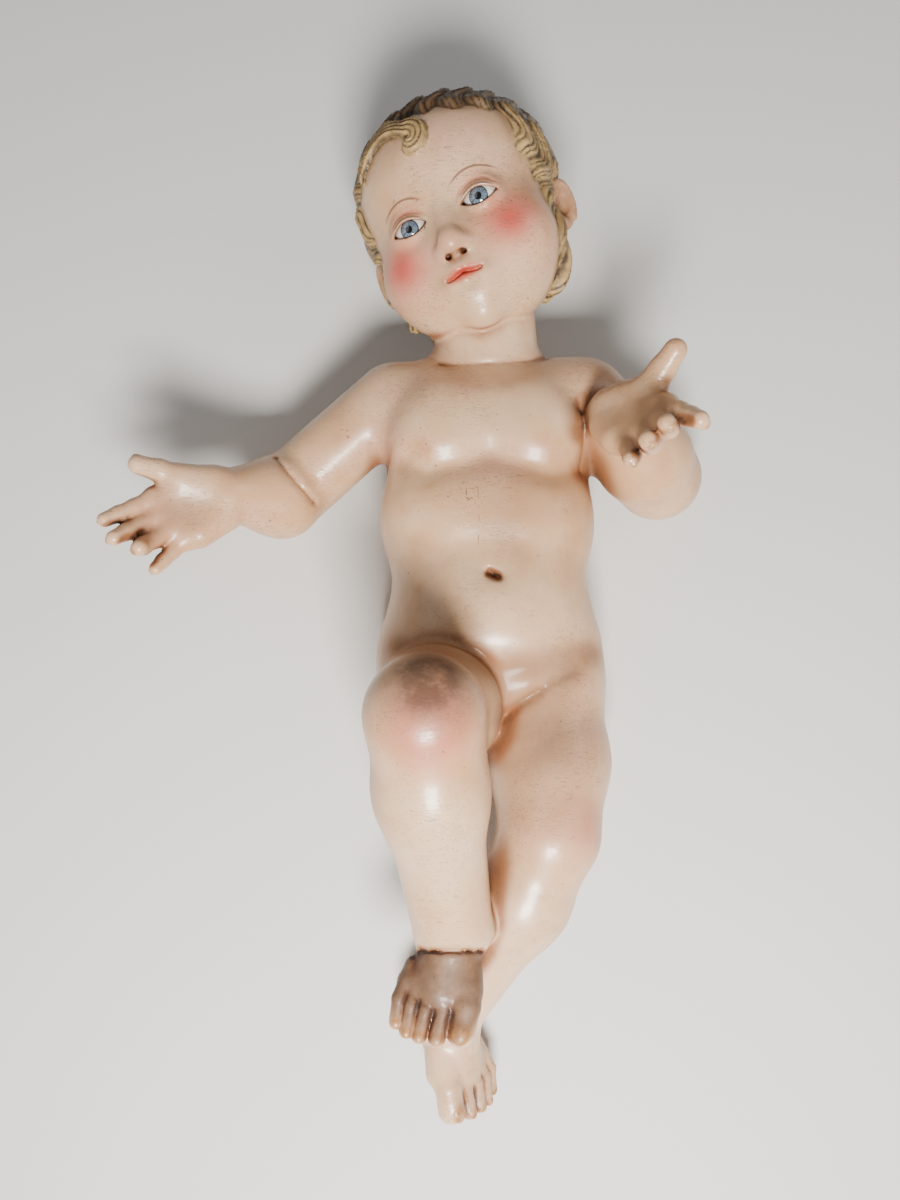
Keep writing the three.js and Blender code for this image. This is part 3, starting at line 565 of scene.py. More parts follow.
def turned(pitch, yaw, roll):
    a, b, c = np.radians((pitch, yaw, roll))
    about_x = np.array([[1, 0, 0], [0, np.cos(a), -np.sin(a)], [0, np.sin(a), np.cos(a)]])
    about_y = np.array([[np.cos(b), 0, np.sin(b)], [0, 1, 0], [-np.sin(b), 0, np.cos(b)]])
    about_z = np.array([[np.cos(c), -np.sin(c), 0], [np.sin(c), np.cos(c), 0], [0, 0, 1]])
    return about_z @ about_y @ about_x


HEAD_PLACE = (HEAD, tuple(turned(*HEAD_TURN).T))
EYE_PLACES = [to_world(HEAD_PLACE, (side * EYE[0], EYE[1], EYE[2])) for side in (-1, 1)]

# The whole figure
ANKLE_FOLD = (26, -157, 84)
ANKLE_FOLD_AXIS = (0, 0.97, -0.24)
RIGHT_HAND = limb_place(RIGHT_ARM["wrist"], (-0.82, -0.46, 0.34), (0.25, -0.1, 0.95), 1)
RIGHT_FINGERS = [(-2, (5, 5, 5)), (-7, (12, 14, 10)), (-12, (16, 24, 28)), (-22, (5, 10, 10))]
RIGHT_THUMB = [(45, 0), (40, -8)]
LEFT_HAND = limb_place(LEFT_ARM["wrist"], (0.3, -0.45, 0.84), (-0.698, 0.495, 0.514), -1)
LEFT_FINGERS = [(0, (-5, 0, 5)), (-8, (5, 15, 25)), (-12, (5, 15, 25)), (-20, (5, 10, 10))]
LEFT_THUMB = [(70, 18), (66, 20)]
RIGHT_FOOT = limb_place(RIGHT_LEG["points"][4], (-0.07, -0.81, 0.58), (0, 0.6, 0.8), -1)
LEFT_FOOT = limb_place(LEFT_LEG["points"][4], (0.33, -0.87, 0.36), (0.66, 0.4, 0.64), 1)


def figure():
    """The field of the whole figure, and the field of its nails."""
    neck = limb(NECK_LOW, NECK_TOP, 27, 25)
    arms = [
        near((-40, 72, 44), 62, arm(RIGHT_ARM, 18.5)),
        near((112, 84, 48), 58, arm(LEFT_ARM, 21)),
    ]
    legs = [
        near((20, -95, 80), 92, leg(**RIGHT_LEG)),
        near((56, -128, 44), 110, leg(**LEFT_LEG)),
    ]
    shoulders = blend(8, blend(12, blend(7, trunk(), neck), arms[1]), arms[0])
    torso = pressed(
        blend(9, shoulders, legs[1]),
        dip(5, 1.2, drawn(GROIN_FOLD, True, 30)),
        dip(2.4, 1.6, drawn(GROIN_FOLD[:3], True, 30)),
        dip(9, 1.3, drawn(THIGH_FOLD, True, 30)),
        crease(1.6, 2.6, across(ELBOW_FOLD, ELBOW_FOLD_AXIS, 15)),
        crease(2.4, 0.9, drawn(LEFT_ARMPIT, True, 40)),
        crease(2.4, 1, drawn(RIGHT_ARMPIT, True, 40)),
        crease(2.4, 2, across(between(NECK_LOW, NECK_TOP, 0.3), NECK_FOLD_AXIS, 31)),
    )
    hands = [
        hand(RIGHT_HAND, RIGHT_FINGERS, RIGHT_THUMB, 1),
        hand(LEFT_HAND, LEFT_FINGERS, LEFT_THUMB, 1.14),
    ]
    feet = [foot(RIGHT_FOOT), foot(LEFT_FOOT)]
    head_field = near(HEAD, 70, in_place(HEAD_PLACE, head()))
    ends = hands + feet
    body = pressed(
        blend(2.2, blend(4, torso, legs[0]), *[end[0] for end in ends], head_field),
        crease(1.4, 3, across(ANKLE_FOLD, ANKLE_FOLD_AXIS, 19)),
    )
    return body, blend(0.3, *[end[1] for end in ends])


BODY, NAILS = figure()


def carved(x, y, z):
    """The figure cut flat where it rests, and hollowed for its eyes."""
    d = np.maximum(BODY(x, y, z), -z)
    for place in EYE_PLACES:
        d = np.maximum(d, -ball(place, EYE_RADIUS + EYE_CLEARANCE)(x, y, z))
    return d


# A closed surface where a field is zero, of four-sided faces, from a grid of boxes. A field can be steeper
# than a true distance, so a block of boxes is left out only where it reads this many half-diagonals or more.
SURE_OF_EMPTY = 1.7


def grid_lines(low, high, step_at):
    lines = [low]
    while lines[-1] < high:
        lines.append(lines[-1] + step_at(lines[-1]))
    return np.array(lines, np.float32)


def in_chunks(field, x, y, z, size=250000):
    parts = [field(x[i:i + size], y[i:i + size], z[i:i + size]) for i in range(0, len(x), size)]
    return np.concatenate(parts)


def surface_of(field, xs, ys, zs, block=4):
    """The points of the surface and its faces."""
    # The blocks that the surface can pass through
    shape = (len(xs), len(ys), len(zs))
    starts = [np.arange(0, n - 1, block) for n in shape]
    ends = [np.minimum(s + block, n - 1) for s, n in zip(starts, shape)]
    lows = [line[s] for line, s in zip((xs, ys, zs), starts)]
    highs = [line[e] for line, e in zip((xs, ys, zs), ends)]
    middles = np.meshgrid(*[(a + b) / 2 for a, b in zip(lows, highs)], indexing="ij")
    halves = np.meshgrid(*[(b - a) / 2 for a, b in zip(lows, highs)], indexing="ij")
    distance = in_chunks(field, *[m.ravel() for m in middles]).reshape(middles[0].shape)
    kept = np.argwhere(np.abs(distance) < SURE_OF_EMPTY * norm(*halves))
    wanted = np.zeros(shape, bool)
    for i in range(block + 1):
        for j in range(block + 1):
            for k in range(block + 1):
                spots = [np.minimum(kept[:, a] * block + o, shape[a] - 1) for a, o in enumerate((i, j, k))]
                wanted[tuple(spots)] = True
    # The field at the corners of those blocks
    spots = np.nonzero(wanted)
    values = np.full(shape, np.nan, np.float32)
    values[spots] = in_chunks(field, xs[spots[0]], ys[spots[1]], zs[spots[2]])
    # A face for each grid line that crosses the surface, between the four boxes round that line
    strides = (shape[1] * shape[2], shape[2], 1)
    cell_ids, cell_points, faces = [], [], []
    flat = values.ravel()
    for axis in range(3):
        low = tuple(slice(0, -1) if a == axis else slice(None) for a in range(3))
        high = tuple(slice(1, None) if a == axis else slice(None) for a in range(3))
        changes = np.argwhere((values[low] < 0) != (values[high] < 0))
        others = [a for a in range(3) if a != axis]
        first = changes @ np.array(strides)
        second = first + strides[axis]
        good = ~np.isnan(flat[first]) & ~np.isnan(flat[second])
        changes, first, second = changes[good], first[good], second[good]
        share = flat[first] / (flat[first] - flat[second])
        points = np.stack([line[changes[:, a]] for a, line in enumerate((xs, ys, zs))], 1)
        line = (xs, ys, zs)[axis]
        points[:, axis] += share * (line[changes[:, axis] + 1] - line[changes[:, axis]])
        b, c = others if axis != 1 else others[::-1]
        corner = [first - strides[b] - strides[c], first - strides[c], first, first - strides[b]]
        quad = np.stack(corner, 1)
        backward = flat[first] > 0
        quad[backward] = quad[backward][:, ::-1]
        faces.append(quad)
        for ids in corner:
            cell_ids.append(ids)
            cell_points.append(points)
    # A point for each box, in the middle of the crossings on its edges
    faces = np.concatenate(faces)
    ids, inverse = np.unique(np.concatenate(cell_ids), return_inverse=True)
    all_points = np.concatenate(cell_points)
    count = np.bincount(inverse)
    points = np.stack([np.bincount(inverse, all_points[:, a]) / count for a in range(3)], 1)
    return points.astype(np.float32), np.searchsorted(ids, faces)


def slope_of(field, points, reach=0.06):
    columns = []
    for axis in range(3):
        ahead, behind = points.copy(), points.copy()
        ahead[:, axis] += reach
        behind[:, axis] -= reach
        columns.append((in_chunks(field, *ahead.T) - in_chunks(field, *behind.T)) / (2 * reach))
    return np.stack(columns, 1)


def settled(field, points, furthest=0.4):
    """Points moved onto the surface along the field's slope."""
    slope = slope_of(field, points)
    steep = np.maximum((slope * slope).sum(1), 0.2)
    move = slope * (-in_chunks(field, *points.T) / steep)[:, None]
    length = np.linalg.norm(move, axis=1)
    return points + move * np.minimum(1, furthest / np.maximum(length, 1e-9))[:, None]


# The grid on each axis: its low end, its high end and its steps, which are finest across the head
QUICK_STEP = 2
GRID = [
    (-150, 160, lambda x: 0.8 if -22 < x < 90 else 1.25),
    (-270, 256, lambda y: 0.75 if y > 130 else 1.15 if y < -150 or y > 30 else 1.9),
    (-3, 146, lambda z: 0.95),
]
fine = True
xs, ys, zs = [
    grid_lines(start, end, step_at if fine else lambda place: QUICK_STEP) for start, end, step_at in GRID
]
points, quads = surface_of(carved, xs, ys, zs)
points = settled(carved, points)

# Metres in the row frame: the modelled eye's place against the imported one's gives the shift
low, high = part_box("eye_left")
SHIFT = (np.array(low) + np.array(high)) / 2 * MM - np.array(EYE_PLACES[1])


def added(name, data):
    """A new object in the scene."""
    thing = bpy.data.objects.new(name, data)
    bpy.context.scene.collection.objects.link(thing)
    return thing


first_mesh = bpy.data.meshes.new("carved_child")
first_mesh.from_pydata(((points + SHIFT) / MM).tolist(), [], quads.tolist())
child = added("carved_child", first_mesh)
if fine:
    thinner = child.modifiers.new("thin", "DECIMATE")
    thinner.ratio = MOST_TRIANGLES / (2 * len(quads))
    evaluated = child.evaluated_get(bpy.context.evaluated_depsgraph_get())
    thinned_mesh = bpy.data.meshes.new_from_object(evaluated)
    child.modifiers.remove(thinner)
    child.data = thinned_mesh


def points_of(thing):
    flat = np.zeros(len(thing.data.vertices) * 3, np.float32)
    thing.data.vertices.foreach_get("co", flat)
    return flat.reshape(-1, 3)


co = points_of(child) * MM - SHIFT.astype(np.float32)
if fine:
    co = settled(carved, co.astype(np.float32), 0.25).astype(np.float32)
co[:, 2] = np.where(co[:, 2] < 0.12, 0, co[:, 2])
child.data.vertices.foreach_set("co", ((co + SHIFT) / MM).astype(np.float32).ravel())
child.data.polygons.foreach_set("use_smooth", np.ones(len(child.data.polygons), bool))
child.data.update()


# Marks on the surface for the paint
def attribute(name, values, mesh=child.data):
    layer = mesh.attributes.new(name, "FLOAT", "POINT")
    layer.data.foreach_set("value", np.asarray(values, np.float32))


normals = np.zeros(len(co) * 3, np.float32)
child.data.vertices.foreach_get("normal", normals)
normals = normals.reshape(-1, 3)


def hollow(reach):
    """How much of the space above a point the figure's own forms take: 0 on open skin, 1 deep in a fold."""
    above = in_chunks(BODY, *(co + normals * reach).T)
    return np.clip(1 - above / reach, 0, 1)


def spot(centre, reach):
    """1 at a centre, fading out to each side of it."""
    return np.exp(-((ball(centre, 0)(*co.T) / reach) ** 2))


def spots(rows):
    return sum(strength * spot(centre, reach) for strength, centre, reach in rows)


NAVEL_AT = (46, 6.8, 78)
# Where the paint is chipped, as a place and a reach, and the split down the chest: how far across it is, its
# low end, the place above which it is broken into short pieces, and its top
CHIPPED = [((38, 45, 76), 8.5), ((-24, 79, 58), 4), ((80, -126, 60), 4)]
SPLIT = dict(across=39, low_end=18, broken_above=30, top_end=50)
# Spots of colour on the skin: how strong each is, its centre and its reach
BLUSH_SPOTS = [
    (1.6, (18, -60, 136), 17), (0.8, (84, -108, 70), 17), (0.5, (-58, 50, 14), 14), (0.5, (140, 58, 20), 14),
    (0.35, (-110, 33, 80), 15), (0.6, (13, 66, 76), 4), (0.6, (68, 66, 77), 4),
]
# Warm brown spots: a tint of the paint, and painted shade at the armpits, the groin, the left thigh and
# between the legs
WARM_TINT_AND_SHADE_SPOTS = [
    (0.45, (98, 99, 56), 22), (0.7, (64, -45, 66), 20), (0.6, (69, -68, 70), 28), (0.6, (53, -70, 60), 22),
    (0.3, (0, 98, 60), 24), (0.5, (52, -112, 55), 26), (0.45, (52, 40, 84), 30), (0.4, (-20, 82, 58), 20),
]
# Dark spots: dirt, with painted shade on the top of the right knee, above the navel, in the navel and across
# the left thigh
GRIME_AND_SHADE_SPOTS = [
    (1.7, (18, -42, 137), 15), (0.45, (50, 24, 84), 12), (1.5, NAVEL_AT, 3.2), (0.4, (50, -130, 62), 10),
    (0.25, (65, -146, 55), 9), (0.4, (69, -64, 70), 16), (0.3, (76, -80, 66), 15),
]
# The same points as the head sees them
hx, hy, hz = local(HEAD_PLACE, *co.T)
on_head = norm(hx, hy, hz) < 66
behind, phase, down, _ = scalp(hx, hy, hz)
curl, level, curl_reach = forelock(hx, hy, hz)
spread = ramp(0.15, 0.6, down)
ear_away = ear()(*[v / EAR_SIZE for v in local(EAR, np.abs(hx), hy, hz)])
not_ear = ramp(-1, 1.5, ear_away)
back_hair = ramp(-4, -2.4, behind + 2.2 * np.sin(phase)) * not_ear
painted_curl = ramp(FORELOCK["inner"] - 2.4, FORELOCK["inner"] - 1.2, level) * ramp(0, 0.01, curl_reach)
hair = np.maximum(back_hair, painted_curl) * on_head
back_groove = ramp(0.2, 0.9, -np.sin(strand_phase(phase, down)) * spread) * back_hair
curl_groove = ramp(0.2, 0.9, -np.sin(2 * np.pi * level / FORELOCK["strand"]))
lock_groove = np.maximum(back_groove, 0.8 * ramp(0.75, 1, -np.sin(phase)))
# Painted shade and dirt in the grooves between the locks and strands
groove_shade_and_dirt = np.where(curl > 0.3, curl_groove, lock_groove) * hair
attribute("hair", hair)
attribute("groove_shade_and_dirt", groove_shade_and_dirt)
# The crown painted darker: painted shade with grime
attribute("crown", ramp(18, 42, hy) * ramp(2.4, 1.7, down) * (1 - ramp(0.2, 0.6, curl)) * on_head)
attribute("hair_edge", ramp(-9, -1, behind) * (1 - hair) * on_head)
shut_in = np.maximum(hollow(3), 0.8 * hollow(9))
attribute("ear_skin", ramp(1.5, 0, ear_away) * on_head)
# Where a point is on the face: across it from the middle, up it, and out of it
attribute("face_across", np.abs(hx))
attribute("face_up", hy)
attribute("face_out", np.where(on_head, hz, 0))


def face_spot(centre, reach):
    """1 at a place on the face or its mirror image, fading out to each side of it."""
    (ax, ay), (rx, ry) = centre, reach
    far = ((np.abs(hx) - ax) / rx) ** 2 + ((hy - ay) / ry) ** 2
    return np.exp(-far) * (hz > 5) * on_head


attribute("rouge", face_spot((27, -20), (13, 12)))
attribute("lips", np.exp(-((np.hypot(hx / 8.5, (hy + 34) / 3.4)) ** 4)) * (hz > 30) * on_head)
green = 0.9 * face_spot((0, -26.5), (8, 3)) + 0.8 * face_spot((11, -34), (3.5, 3.5))
green = green + 0.7 * face_spot((8.5, -11), (5, 8)) + 0.35 * face_spot((0, -41), (9, 2.5))
attribute("shade", np.clip(green, 0, 1))
pink = spots(BLUSH_SPOTS) + 0.6 * face_spot((0, -20), (8, 5)) + 0.5 * face_spot((17.5, 4), (10, 3))
attribute("blush", np.clip(pink, 0, 1))
foot_places = [local(place, *co.T) for place in (RIGHT_FOOT, LEFT_FOOT)]
near_feet = [
    share * ramp(66, 50, norm(u, v, w)) * ramp(*reach, u) * ramp(-13, -7, w)
    for (u, v, w), share, reach in zip(foot_places, (1, 0.5), ((-14, 10), (22, 42)))
]
ankle_side = sum((v - at) * way for v, at, way in zip(co.T, ANKLE_FOLD, ANKLE_FOLD_AXIS))
near_feet[0] = near_feet[0] * ramp(0.5, -1.5, ankle_side)
hands_at = [local(place, *co.T) for place in (RIGHT_HAND, LEFT_HAND)]
palms = [
    np.exp(-((norm((u - 28) / 14, (v - 1) / 11, 0)) ** 2)) * ramp(1, 5, w) * ramp(60, 50, norm(u, v, w))
    for u, v, w in hands_at
]
neck_away = across(between(NECK_LOW, NECK_TOP, 0.12), NECK_FOLD_AXIS, 34)(*co.T)
on_top = ramp(20, 40, co[:, 2])
valley = np.exp(-((drawn(BELLY_FOLD, True, 30)(*co.T) / 6.5) ** 2)) * on_top
groin_away = drawn(GROIN_FOLD, True, 30)(*co.T)
groin, groin_deep = [np.exp(-((groin_away / reach) ** 2)) * on_top for reach in (5, 2.2)]
attribute("dull", np.clip(valley + groin, 0, 1))
# Painted shade and soil on the right foot's top, up to the ankle's fold
attribute("foot_shade_and_soil", near_feet[0])
# Painted shade and dirt in folds and hollows, strongest round the feet: the fold mark is how shut in a point
# is
attribute("fold", np.clip(shut_in * (1 + 1.2 * sum(near_feet)), 0, 1))
# Warm brown: a tint of the paint, dirt on the palms and the left foot, with painted shade under the chin, in
# the belly's fold, in the groin and on the right foot
warm_tint_and_shade = spots(WARM_TINT_AND_SHADE_SPOTS) + 0.95 * np.exp(-((neck_away / 10) ** 2)) + 1.1 * valley + groin
warm_tint_and_shade = warm_tint_and_shade + 0.6 * near_feet[0] + near_feet[1] + 0.4 * palms[0] + 0.15 * palms[1]
attribute("warm_tint_and_shade", np.clip(warm_tint_and_shade, 0, 1))
# Dark brown: dirt on the left foot and the palms, with painted shade in the belly's fold, deep in the groin
# and on the right foot
grime_and_shade = spots(GRIME_AND_SHADE_SPOTS) + 0.3 * valley + 0.6 * groin_deep
grime_and_shade = grime_and_shade + 0.8 * near_feet[0] + 0.4 * near_feet[1] + 0.42 * palms[0] + 0.12 * palms[1]
attribute("grime_and_shade", np.clip(grime_and_shade, 0, 1))
attribute("nails", ramp(0.35, -0.1, in_chunks(NAILS, *co.T)))
attribute("chips", np.clip(sum(spot(at, reach) for at, reach in CHIPPED), 0, 1))


# Materials
def node(tree, kind, **settings):
    made = tree.nodes.new("ShaderNode" + kind)
    for key, value in settings.items():
        setattr(made, key, value)
    return made


def srgb(r, g, b):
    linear = [((v / 255 + 0.055) / 1.055) ** 2.4 if v > 10 else v / 255 / 12.92 for v in (r, g, b)]
    return (*linear, 1)


class Paint:
    """A material and short ways to add nodes to it."""

    def __init__(self, name):
        self.material = bpy.data.materials.new(name)
        self.material.use_nodes = True
        self.tree = self.material.node_tree
        self.shader = self.tree.nodes["Principled BSDF"]

    def link(self, a, b):
        self.tree.links.new(a, b)

    def mark(self, name):
        return node(self.tree, "Attribute", attribute_name=name).outputs["Fac"]

    def place(self, scale=(1, 1, 1)):
        where = node(self.tree, "TexCoord").outputs["Object"]
        mapping = node(self.tree, "Mapping")
        mapping.inputs["Scale"].default_value = scale
        self.link(where, mapping.inputs["Vector"])
        return mapping.outputs["Vector"]

    def coordinates(self):
        parts = node(self.tree, "SeparateXYZ")
        self.link(self.place(), parts.inputs[0])
        return parts.outputs

    def noise(self, scale, detail=4, rough=0.6, stretch=(1, 1, 1)):
        made = node(self.tree, "TexNoise")
        made.inputs["Scale"].default_value = scale
        made.inputs["Detail"].default_value = detail
        made.inputs["Roughness"].default_value = rough
        self.link(self.place(stretch), made.inputs["Vector"])
        return made.outputs["Fac"]

    def between(self, value, low, high, to_low=0, to_high=1):
        made = node(self.tree, "MapRange", interpolation_type="SMOOTHSTEP")
        for name, number in zip(("From Min", "From Max", "To Min", "To Max"), (low, high, to_low, to_high)):
            made.inputs[name].default_value = number
        self.link(value, made.inputs["Value"])
        return made.outputs["Result"]

    def maths(self, kind, a, b=0.0):
        made = node(self.tree, "Math", operation=kind)
        for socket, value in zip(made.inputs, (a, b)):
            if isinstance(value, (int, float)):
                socket.default_value = value
            else:
                self.link(value, socket)
        return made.outputs[0]

    def times(self, a, b):
        return self.maths("MULTIPLY", a, b)

    def plus(self, a, b):
        return self.maths("ADD", a, b)

    def minus(self, a, b):
        return self.maths("SUBTRACT", a, b)

    def unsigned(self, a):
        return self.maths("ABSOLUTE", a)

    def mix(self, a, b, share):
        made = node(self.tree, "Mix", data_type="RGBA", blend_type="MIX")
        for socket, value in zip((made.inputs[0], made.inputs[6], made.inputs[7]), (share, a, b)):
            if isinstance(value, (int, float, tuple)):
                socket.default_value = value
            else:
                self.link(value, socket)
        return made.outputs[2]

    def bump(self, height, strength, distance):
        made = node(self.tree, "Bump")
        made.inputs["Strength"].default_value = strength
        made.inputs["Distance"].default_value = distance
        self.link(height, made.inputs["Height"])
        return made.outputs["Normal"]


skin = Paint("old painted wood")


def painted(under, colour, mark, strength):
    """A colour over another, where a mark is."""
    return skin.mix(under, srgb(*colour), skin.times(mark, strength))


def arch(middle, side, drop, reach, thick):
    """A thin painted arch on both sides of the face, fading out at its ends."""
    aside = skin.minus(skin.mark("face_across"), side)
    curve = skin.minus(middle, skin.times(skin.times(aside, aside), drop))
    away = skin.unsigned(skin.minus(skin.mark("face_up"), curve))
    ends = skin.between(skin.unsigned(aside), reach * 0.55, reach, 1, 0)
    line = skin.between(away, thick * 0.4, thick, 1, 0)
    front = skin.between(skin.mark("face_out"), 20, 24)
    return skin.times(skin.times(line, ends), front)


patches = skin.between(skin.noise(14, 4), 0.36, 0.64)
flesh = skin.mix(srgb(194, 150, 110), srgb(210, 175, 140), patches)
flesh = painted(flesh, (176, 130, 98), skin.between(skin.noise(70, 6, 0.7), 0.48, 0.78), 0.4)
flesh = painted(flesh, (214, 160, 146), skin.between(skin.noise(22, 4, 0.6), 0.52, 0.72), 0.35)
# Warm brown: a tint of the paint, with painted shade in the creases and under the chin
flesh = painted(flesh, (136, 86, 48), skin.mark("warm_tint_and_shade"), 0.6)
flesh = painted(flesh, (186, 94, 78), skin.mark("blush"), 0.58)
# Painted shade and soil on the right foot's top, uneven
uneven_foot_shade_and_soil = skin.between(skin.noise(60, 4), 0.3, 0.66, 0.55, 1)
flesh = painted(flesh, (98, 58, 28), skin.times(skin.mark("foot_shade_and_soil"), uneven_foot_shade_and_soil), 0.68)
# Dark brown: dirt, with painted shade on the right knee's top, in the navel, the folds and the groin
cloudy = skin.between(skin.noise(110, 5, 0.7), 0.3, 0.6, 0.6, 1)
flesh = painted(flesh, (58, 36, 22), skin.times(skin.mark("grime_and_shade"), cloudy), 0.78)
flesh = painted(flesh, (96, 84, 56), skin.mark("shade"), 0.55)
# Painted shade and dirt in folds and hollows: brown, darker where deepest, darkest between the toes
fold = skin.between(skin.mark("fold"), 0.12, 0.7)
flesh = painted(flesh, (128, 74, 34), fold, 0.9)
deep = skin.between(skin.mark("fold"), 0.66, 1)
flesh = painted(flesh, (52, 30, 16), deep, 0.75)
flesh = painted(flesh, (44, 24, 13), skin.times(fold, skin.mark("foot_shade_and_soil")), 0.9)
flesh = painted(flesh, (196, 112, 92), skin.mark("ear_skin"), 0.45)
flesh = painted(flesh, (186, 50, 48), skin.mark("rouge"), 0.85)
flesh = painted(flesh, (176, 44, 26), skin.mark("lips"), 0.9)
worn = skin.between(skin.noise(300, 4), 0.4, 0.6, 0.35, 1)
flesh = painted(flesh, (150, 100, 44), skin.times(skin.mark("nails"), worn), 1)
flesh = painted(flesh, (122, 86, 54), skin.mark("hair_edge"), 0.55)
flesh = painted(flesh, (92, 58, 36), arch(8.2, 18, 0.034, 13, 0.75), 0.75)
flesh = painted(flesh, (82, 50, 36), arch(0.1, 17.5, 0.051, 9.5, 0.8), 0.7)
flesh = painted(flesh, (176, 96, 78), arch(2.4, 17.5, 0.05, 12, 1.4), 0.55)
locks = skin.mix(srgb(174, 144, 94), srgb(126, 98, 58), skin.between(skin.noise(90, 4), 0.35, 0.7))
# The crown painted darker: painted shade with grime
locks = painted(locks, (66, 42, 24), skin.mark("crown"), 0.85)
# Painted shade and dirt in the grooves of the hair, near black
uneven = skin.between(skin.noise(130, 4), 0.3, 0.6, 0.55, 1)
locks = painted(locks, (26, 14, 7), skin.times(skin.mark("groove_shade_and_dirt"), uneven), 1)
paint = skin.mix(flesh, locks, skin.mark("hair"))
line = skin.unsigned(skin.minus(skin.noise(1, 2, 0.5, (130, 700, 560)), 0.5))
crack = skin.between(line, 0.0, 0.02, 1, 0)
crack = skin.times(crack, skin.between(skin.noise(24, 3), 0.4, 0.6))
paint = skin.mix(paint, srgb(116, 84, 60), skin.times(crack, 0.7))
across_it, along_it, out_of_it = skin.coordinates()
middle, low_end, broken_above, top_end = [(v + SHIFT[i]) / MM for v, i in zip(SPLIT.values(), (0, 1, 1, 1))]
wander = skin.times(skin.noise(90, 3), 0.003)
split = skin.unsigned(skin.minus(skin.plus(across_it, wander), middle + 0.0015))
split = skin.between(split, 0.00008, 0.00026, 1, 0)
whole = skin.between(along_it, broken_above, low_end)
broken = skin.plus(skin.between(skin.noise(260, 2), 0.48, 0.54), whole)
split = skin.times(split, skin.maths("MINIMUM", broken, 1.0))
split = skin.times(split, skin.between(along_it, low_end, low_end + 0.006))
split = skin.times(split, skin.between(along_it, top_end, top_end - 0.006))
split = skin.times(split, skin.between(out_of_it, 0.06, 0.062))
paint = skin.mix(paint, srgb(104, 72, 50), skin.times(split, 0.75))
chip = skin.between(skin.noise(760, 2, 0.5, (1, 0.7, 1)), 0.63, 0.66)
chip = skin.times(chip, skin.between(skin.mark("chips"), 0.3, 0.6))
paint = skin.mix(paint, srgb(92, 66, 46), skin.times(chip, 0.85))
specks = skin.between(skin.noise(420, 2, 0.5), 0.72, 0.77)
paint = skin.mix(paint, srgb(70, 46, 30), skin.times(specks, 0.6))
skin.link(paint, skin.shader.inputs["Base Color"])
rough = skin.between(skin.noise(35, 5), 0.3, 0.7, 0.3, 0.42)
rough = skin.plus(rough, skin.times(skin.mark("hair"), 0.18))
rough = skin.plus(rough, skin.times(fold, 0.3))
rough = skin.plus(rough, skin.times(skin.mark("grime_and_shade"), 0.25))
skin.shader.inputs["Coat Weight"].default_value = 0.15
skin.shader.inputs["Coat Roughness"].default_value = 0.15
rough = skin.plus(rough, skin.times(skin.mark("dull"), 0.4))
skin.link(rough, skin.shader.inputs["Roughness"])
brushed = skin.times(skin.noise(1, 3, 0.6, (260, 1100, 900)), 0.5)
height = skin.plus(brushed, skin.times(skin.noise(160, 5), 0.5))
height = skin.minus(height, skin.maths("MAXIMUM", crack, skin.maths("MAXIMUM", split, chip)))
skin.link(skin.bump(height, 0.4, 0.0002), skin.shader.inputs["Normal"])
child.data.materials.clear()
child.data.materials.append(skin.material)
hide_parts("figure")
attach(child, "root")


# Glass eyes: a ball with a bulge over a blue-grey iris, all under a clear coat, turned to look out of the
# face. The bulge ends this many radians from the middle of the gaze.
BULGE = 0.7
BULGE_REACH = 0.56
GAZE = unit(np.array(turned(*HEAD_TURN)) @ np.array([0, 0.0, 1]))


def glass_eye(name, place, rings=40, sides=64):
    """A ball whose front is pushed out, with each point's angle from its gaze kept for the paint."""
    ahead = GAZE
    across_1 = unit(np.cross(ahead, (0, 1, 0)))
    across_2 = np.cross(ahead, across_1)
    rows = []
    for i in range(1, rings):
        angle = math.pi * (i / rings) ** 1.25
        lift = BULGE * max(0, math.cos(min(angle / BULGE_REACH, 1) * math.pi / 2)) ** 1.2
        reach = EYE_RADIUS + lift
        for j in range(sides):
            turn = 2 * math.pi * j / sides
            out = math.sin(angle) * (math.cos(turn) * across_1 + math.sin(turn) * across_2)
            rows.append(reach * (math.cos(angle) * ahead + out))
    rows = [(EYE_RADIUS + BULGE) * ahead] + rows + [-EYE_RADIUS * ahead]
    last = len(rows) - 1
    faces = []
    for j in range(sides):
        k = (j + 1) % sides
        faces.append((0, 1 + k, 1 + j))
        faces.append((last, last - sides + j, last - sides + k))
        for i in range(rings - 2):
            a, b = 1 + i * sides, 1 + (i + 1) * sides
            faces.append((a + j, a + k, b + k, b + j))
    mesh = bpy.data.meshes.new(name)
    mesh.from_pydata((np.array(rows) / MM).tolist(), [], faces)
    mesh.polygons.foreach_set("use_smooth", np.ones(len(faces), bool))
    off_axis = np.degrees(np.arccos(np.clip(np.array(rows) @ ahead / np.linalg.norm(rows, axis=1), -1, 1)))
    attribute("off_axis", off_axis, mesh)
    around = np.arctan2(np.array(rows) @ across_2, np.array(rows) @ across_1)
    attribute("turn_a", np.cos(around), mesh)
    attribute("turn_b", np.sin(around), mesh)
    eye = added(name, mesh)
    eye.location = (np.array(place) + SHIFT) / MM
    return eye


